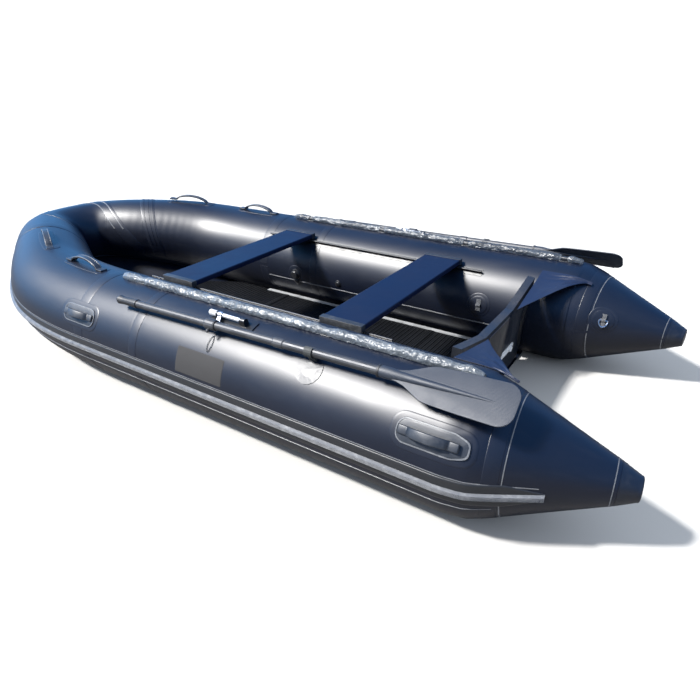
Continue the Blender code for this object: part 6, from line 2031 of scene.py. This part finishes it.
@dataclass
class BenchEnds:
    """Moulded caps over the two ends of a bench board."""

    label: str
    wrap: float = 0.030
    thick: float = 0.0018
    edge: float = 0.0012
    board: float = 0.026

    def open_end(self, obj: Piece, way: float) -> None:
        """Take away the face of a block that looks along Y.

        Args:
            obj: the block.
            way: 1 for the face towards +Y and -1 for the one towards -Y.
        """
        edit_all()
        bpy.ops.mesh.select_mode(type="FACE")
        bpy.ops.mesh.select_all(action="DESELECT")
        bpy.ops.object.mode_set(mode="OBJECT")
        for face in obj.data.polygons:
            face.select = face.normal.y * way > 0.9
        bpy.ops.object.mode_set(mode="EDIT")
        bpy.ops.mesh.delete(type="ONLY_FACE")
        bpy.ops.mesh.select_mode(type="VERT")
        bpy.ops.object.mode_set(mode="OBJECT")

    def build(self) -> None:
        """Make both caps of the bench."""
        node = "bench_" + self.label
        low, high = (Vector(v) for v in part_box(node))
        width, top = high.x - low.x, high.z
        middle = (low.x + high.x) / 2
        for side in Side:
            edge = high.y if side is Side.PORT else low.y
            obj = started(f"bench_cap_{self.label}_{side.label}",
                          bpy.ops.mesh.primitive_cube_add, size=1.0)
            size = (width + 2 * self.thick, self.wrap, self.board + 2 * self.thick)
            obj.data.transform(Matrix.Diagonal((*size, 1.0)))
            inner = -1.0 if side is Side.PORT else 1.0
            self.open_end(obj, inner)
            apply(obj, "SOLIDIFY", thickness=self.thick, offset=-1.0)
            soften(obj, self.edge)
            y = edge + inner * (self.wrap / 2 - self.thick)
            obj.data.transform(Matrix.Translation((middle, y, top - self.board / 2)))
            finished(obj, "bench_end", HARD_ANGLE, body=self.label + "_bench")


# The studio


@dataclass
class Studio:
    """Camera at the photograph's angle, pale floor and soft lights."""

    azimuth: float = 213.74
    elevation: float = 27.48
    roll: float = -0.9
    focal_pixels: float = 555.7
    image_pixels: float = 700.0
    sensor: float = 36.0
    place: Triple = (-1.965, 2.1463, 1.4059)
    sky_strength: float = 5.0
    fill: Colour = (0.17, 0.19, 0.22)
    backdrop: Colour = (1.0, 1.0, 1.0)
    blue_from: float = 0.55
    blue_to: float = 0.90
    key_colour: Colour = (1.0, 0.975, 0.94)
    key_strength: float = 8.0
    key_azimuth: float = 46.0
    key_elevation: float = 47.0
    key_spread: float = 5.0
    glare_strength: float = 14.0
    glare_spread: float = 15.0
    pale_side: tuple[tuple[float, Colour], ...] = (
        (0.0, (0.048, 0.070, 0.110)), (0.14, (0.034, 0.080, 0.175)),
        (0.42, (0.022, 0.078, 0.205)), (1.0, (0.018, 0.074, 0.205)))
    blue_side: tuple[tuple[float, Colour], ...] = (
        (0.0, (0.065, 0.20, 0.43)), (0.30, (0.085, 0.28, 0.60)), (0.60, (0.040, 0.14, 0.34)),
        (1.0, (0.018, 0.074, 0.205)))

    def camera(self) -> None:
        """Make the camera and set it as the scene's."""
        data = bpy.data.cameras.new("camera")
        data.sensor_width = self.sensor
        data.lens = self.focal_pixels / self.image_pixels * self.sensor
        data.clip_start, data.clip_end = 0.05, 200.0
        az, el, roll = (radians(a) for a in (self.azimuth, self.elevation, self.roll))
        back = Vector((sin(az) * cos(el), -cos(az) * cos(el), sin(el)))
        right = (-back).cross(UP).normalized()
        up = right.cross(-back)
        turned_right = right * cos(roll) + up * sin(roll)
        turned_up = up * cos(roll) - right * sin(roll)
        rows = Matrix((turned_right, turned_up, back)).transposed().to_4x4()
        rows.translation = Vector(self.place)
        obj = linked("camera", data)
        obj.matrix_world = rows
        bpy.context.scene.camera = obj

    def floor(self) -> None:
        """Make the plain pale floor, which shows dark grey in reflections: painted shade in what
        the boat reflects.
        """
        clean_start()
        bpy.ops.mesh.primitive_plane_add(size=120.0, location=(0.0, 0.0, -0.001))
        obj = bpy.context.object
        obj.name = "floor"
        shader = Shader("pale_floor")
        tone = shader.noise(0.8, 2.0)
        pale = shader.blend(tone, (0.46, 0.455, 0.445), (0.49, 0.485, 0.475))
        # Glossy rays see the floor dark grey: painted shade in the boat's reflections of it.
        mirrored = shader.node("LightPath").outputs["Is Glossy Ray"]
        shader.set(Base_Color=shader.blend(mirrored, pale, (0.17, 0.165, 0.16)))
        shader.set(Roughness=0.95, Specular_IOR_Level=0.1)
        obj.data.materials.append(shader.material)

    def sky(self) -> None:
        """Set the surroundings: a plain white backdrop, lit by a blue overhead and pale sides."""
        world = bpy.data.worlds.new("studio")
        bpy.context.scene.world = world
        world.use_nodes = True
        tree = world.node_tree
        toward = add_node(tree, "TexCoord").outputs["Generated"]
        split = add_node(tree, "SeparateXYZ", {0: toward}).outputs
        ahead = add_node(tree, "MapRange", {
            "Value": split["X"], "From Min": self.blue_from, "From Max": self.blue_to})
        colours = []
        for stops in (self.pale_side, self.blue_side):
            ramp = add_node(tree, "ValToRGB", {"Fac": split["Z"]})
            while len(ramp.color_ramp.elements) < len(stops):
                ramp.color_ramp.elements.new(0.5)
            for element, (place, colour) in zip(ramp.color_ramp.elements, stops):
                element.position = place
                element.color = (*colour, 1.0)
            colours.append(ramp.outputs["Color"])
        seen = add_node(tree, "LightPath").outputs
        mixed = colours[0]
        for factor, other in ((ahead.outputs["Result"], colours[1]),
                              (seen["Is Diffuse Ray"], self.fill),
                              (seen["Is Camera Ray"], self.backdrop)):
            mixed = mixed_colour(tree, factor, mixed, other)
        back = tree.nodes["Background"]
        tree.links.new(mixed, back.inputs["Color"])
        back.inputs["Strength"].default_value = self.sky_strength

    def sun(self) -> None:
        """Add the key light, ahead of the boat on its port side, and its wide soft glare."""
        az, el = radians(self.key_azimuth), radians(self.key_elevation)
        toward = Vector((cos(az) * cos(el), sin(az) * cos(el), sin(el)))
        for name, strength, spread in (("key", self.key_strength, self.key_spread),
                                       ("glare", self.glare_strength, self.glare_spread)):
            data = bpy.data.lights.new(name, "SUN")
            data.energy, data.angle = strength, radians(spread)
            data.color = self.key_colour
            obj = linked(name, data)
            obj.rotation_euler = toward.to_track_quat("Z", "Y").to_euler()
            obj.visible_diffuse = name == "key"
            obj.visible_glossy = name == "glare"

    def build(self) -> None:
        """Make the camera, the floor and the lights."""
        bpy.context.scene.view_settings.view_transform = "Standard"
        self.camera()
        self.floor()
        self.sky()
        self.sun()


# Carried-over nodes


NODE_FINISHES: tuple[tuple[str, str], ...] = (
    ("cone_cap", "cap_rubber"), ("floor_board", "board"), ("stringer", "stringer"),
    ("transom_board", "transom"), ("motor_plate", "plate"), ("drain", "cap_white"),
    ("oar_clip", "clip"), ("rowlock_base", "rowlock"), ("rowlock_pin", "rowlock_pin"),
    ("bench", "bench"), ("_shaft", "oar_shaft"), ("_collar", "oar_shaft"), ("_grip", "grip"),
    ("_rocker", "steel"), ("ring", "steel"), ("valve_cap_bow", "valve_red"),
    ("valve", "valve"))


def finish_of(node: str) -> str:
    """Finish of a carried-over CAD node: the first that goes with a part of its name."""
    return next((finish for part, finish in NODE_FINISHES if part in node), "rubber")


def dress_nodes() -> None:
    """Give every carried-over CAD node its finish."""
    for name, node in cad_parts.items():
        node.data.materials.clear()
        node.data.materials.append(FINISHES[finish_of(name)])


@dataclass(frozen=True)
class StowedOar:
    """Place of a stowed oar on its tube."""

    side: Side
    share: float = 0.563
    angle: float = 57.2
    height: float = 0.045
    skew: float = 1.45
    drop: float = 12.0

    def frame(self) -> Matrix:
        """Frame of the oar.

        Returns:
            Its frame, with X along the shaft to the grip and Z away from the tube.
        """
        a = radians(self.angle)
        normal = Vector((0.0, cos(a), sin(a)))
        tangent = Vector((0.0, sin(a), -cos(a)))
        rows = Matrix((Vector((1.0, 0.0, 0.0)), tangent, normal)).transposed().to_4x4()
        rows.translation = (Vector((FORM.run_x(self.share), FORM.half_spacing,
                                    FORM.tube_radius))
                            + normal * (FORM.tube_radius + self.height))
        rows = rows @ Matrix.Rotation(radians(self.skew), 4, "Z")
        if self.side is Side.PORT:
            return rows
        middle = Vector((0.0, -FORM.half_spacing, FORM.tube_radius))
        turn = (Matrix.Translation(middle) @ Matrix.Rotation(radians(self.drop), 4, "X")
                @ Matrix.Translation(-middle))
        return turn @ Matrix.Diagonal((1, -1, 1, 1)) @ rows @ Matrix.Diagonal((1, -1, 1, 1))


def main() -> None:
    """Build the scene piece by piece."""
    logging.basicConfig(level=logging.INFO, format="%(message)s")
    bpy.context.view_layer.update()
    Studio().build()
    LOG.info("studio")
    dress_nodes()
    LOG.info("carried-over nodes")
    AirTubes().build()
    LOG.info("air tubes")
    Seams().build()
    LOG.info("seams")
    RubbingStrake().build()
    LOG.info("rubbing strake")
    ConeCaps().build()
    LOG.info("cone caps")
    underside = Underside()
    underside.skin()
    underside.keel()
    LOG.info("bottom cloth and keel")
    for side in Side:
        Gusset(side).build()
        GrabLine(side).build()
        if side is Side.PORT:
            FilmCover(side).build()
        else:
            FilmCover(side, seed=23, look=ClearFilm(
                low=(0.016, 0.022, 0.032), high=(0.095, 0.108, 0.122), thinnest=0.35)).build()
        place = StowedOar(side).frame()
        OarBlade(side, place).build()
        trim = ShaftTrim(side, place)
        trim.build()
        trim.keeper()
        LOG.info("gusset, grab line, film and blade, %s", side.label)
    StrapHandles().build()
    LOG.info("handles")
    Fittings().build()
    NamePatch().build()
    LOG.info("fittings and patches")
    for label in ("front", "rear"):
        BenchEnds(label).build()
    LOG.info("bench ends")


if __name__ == "__main__":
    main()
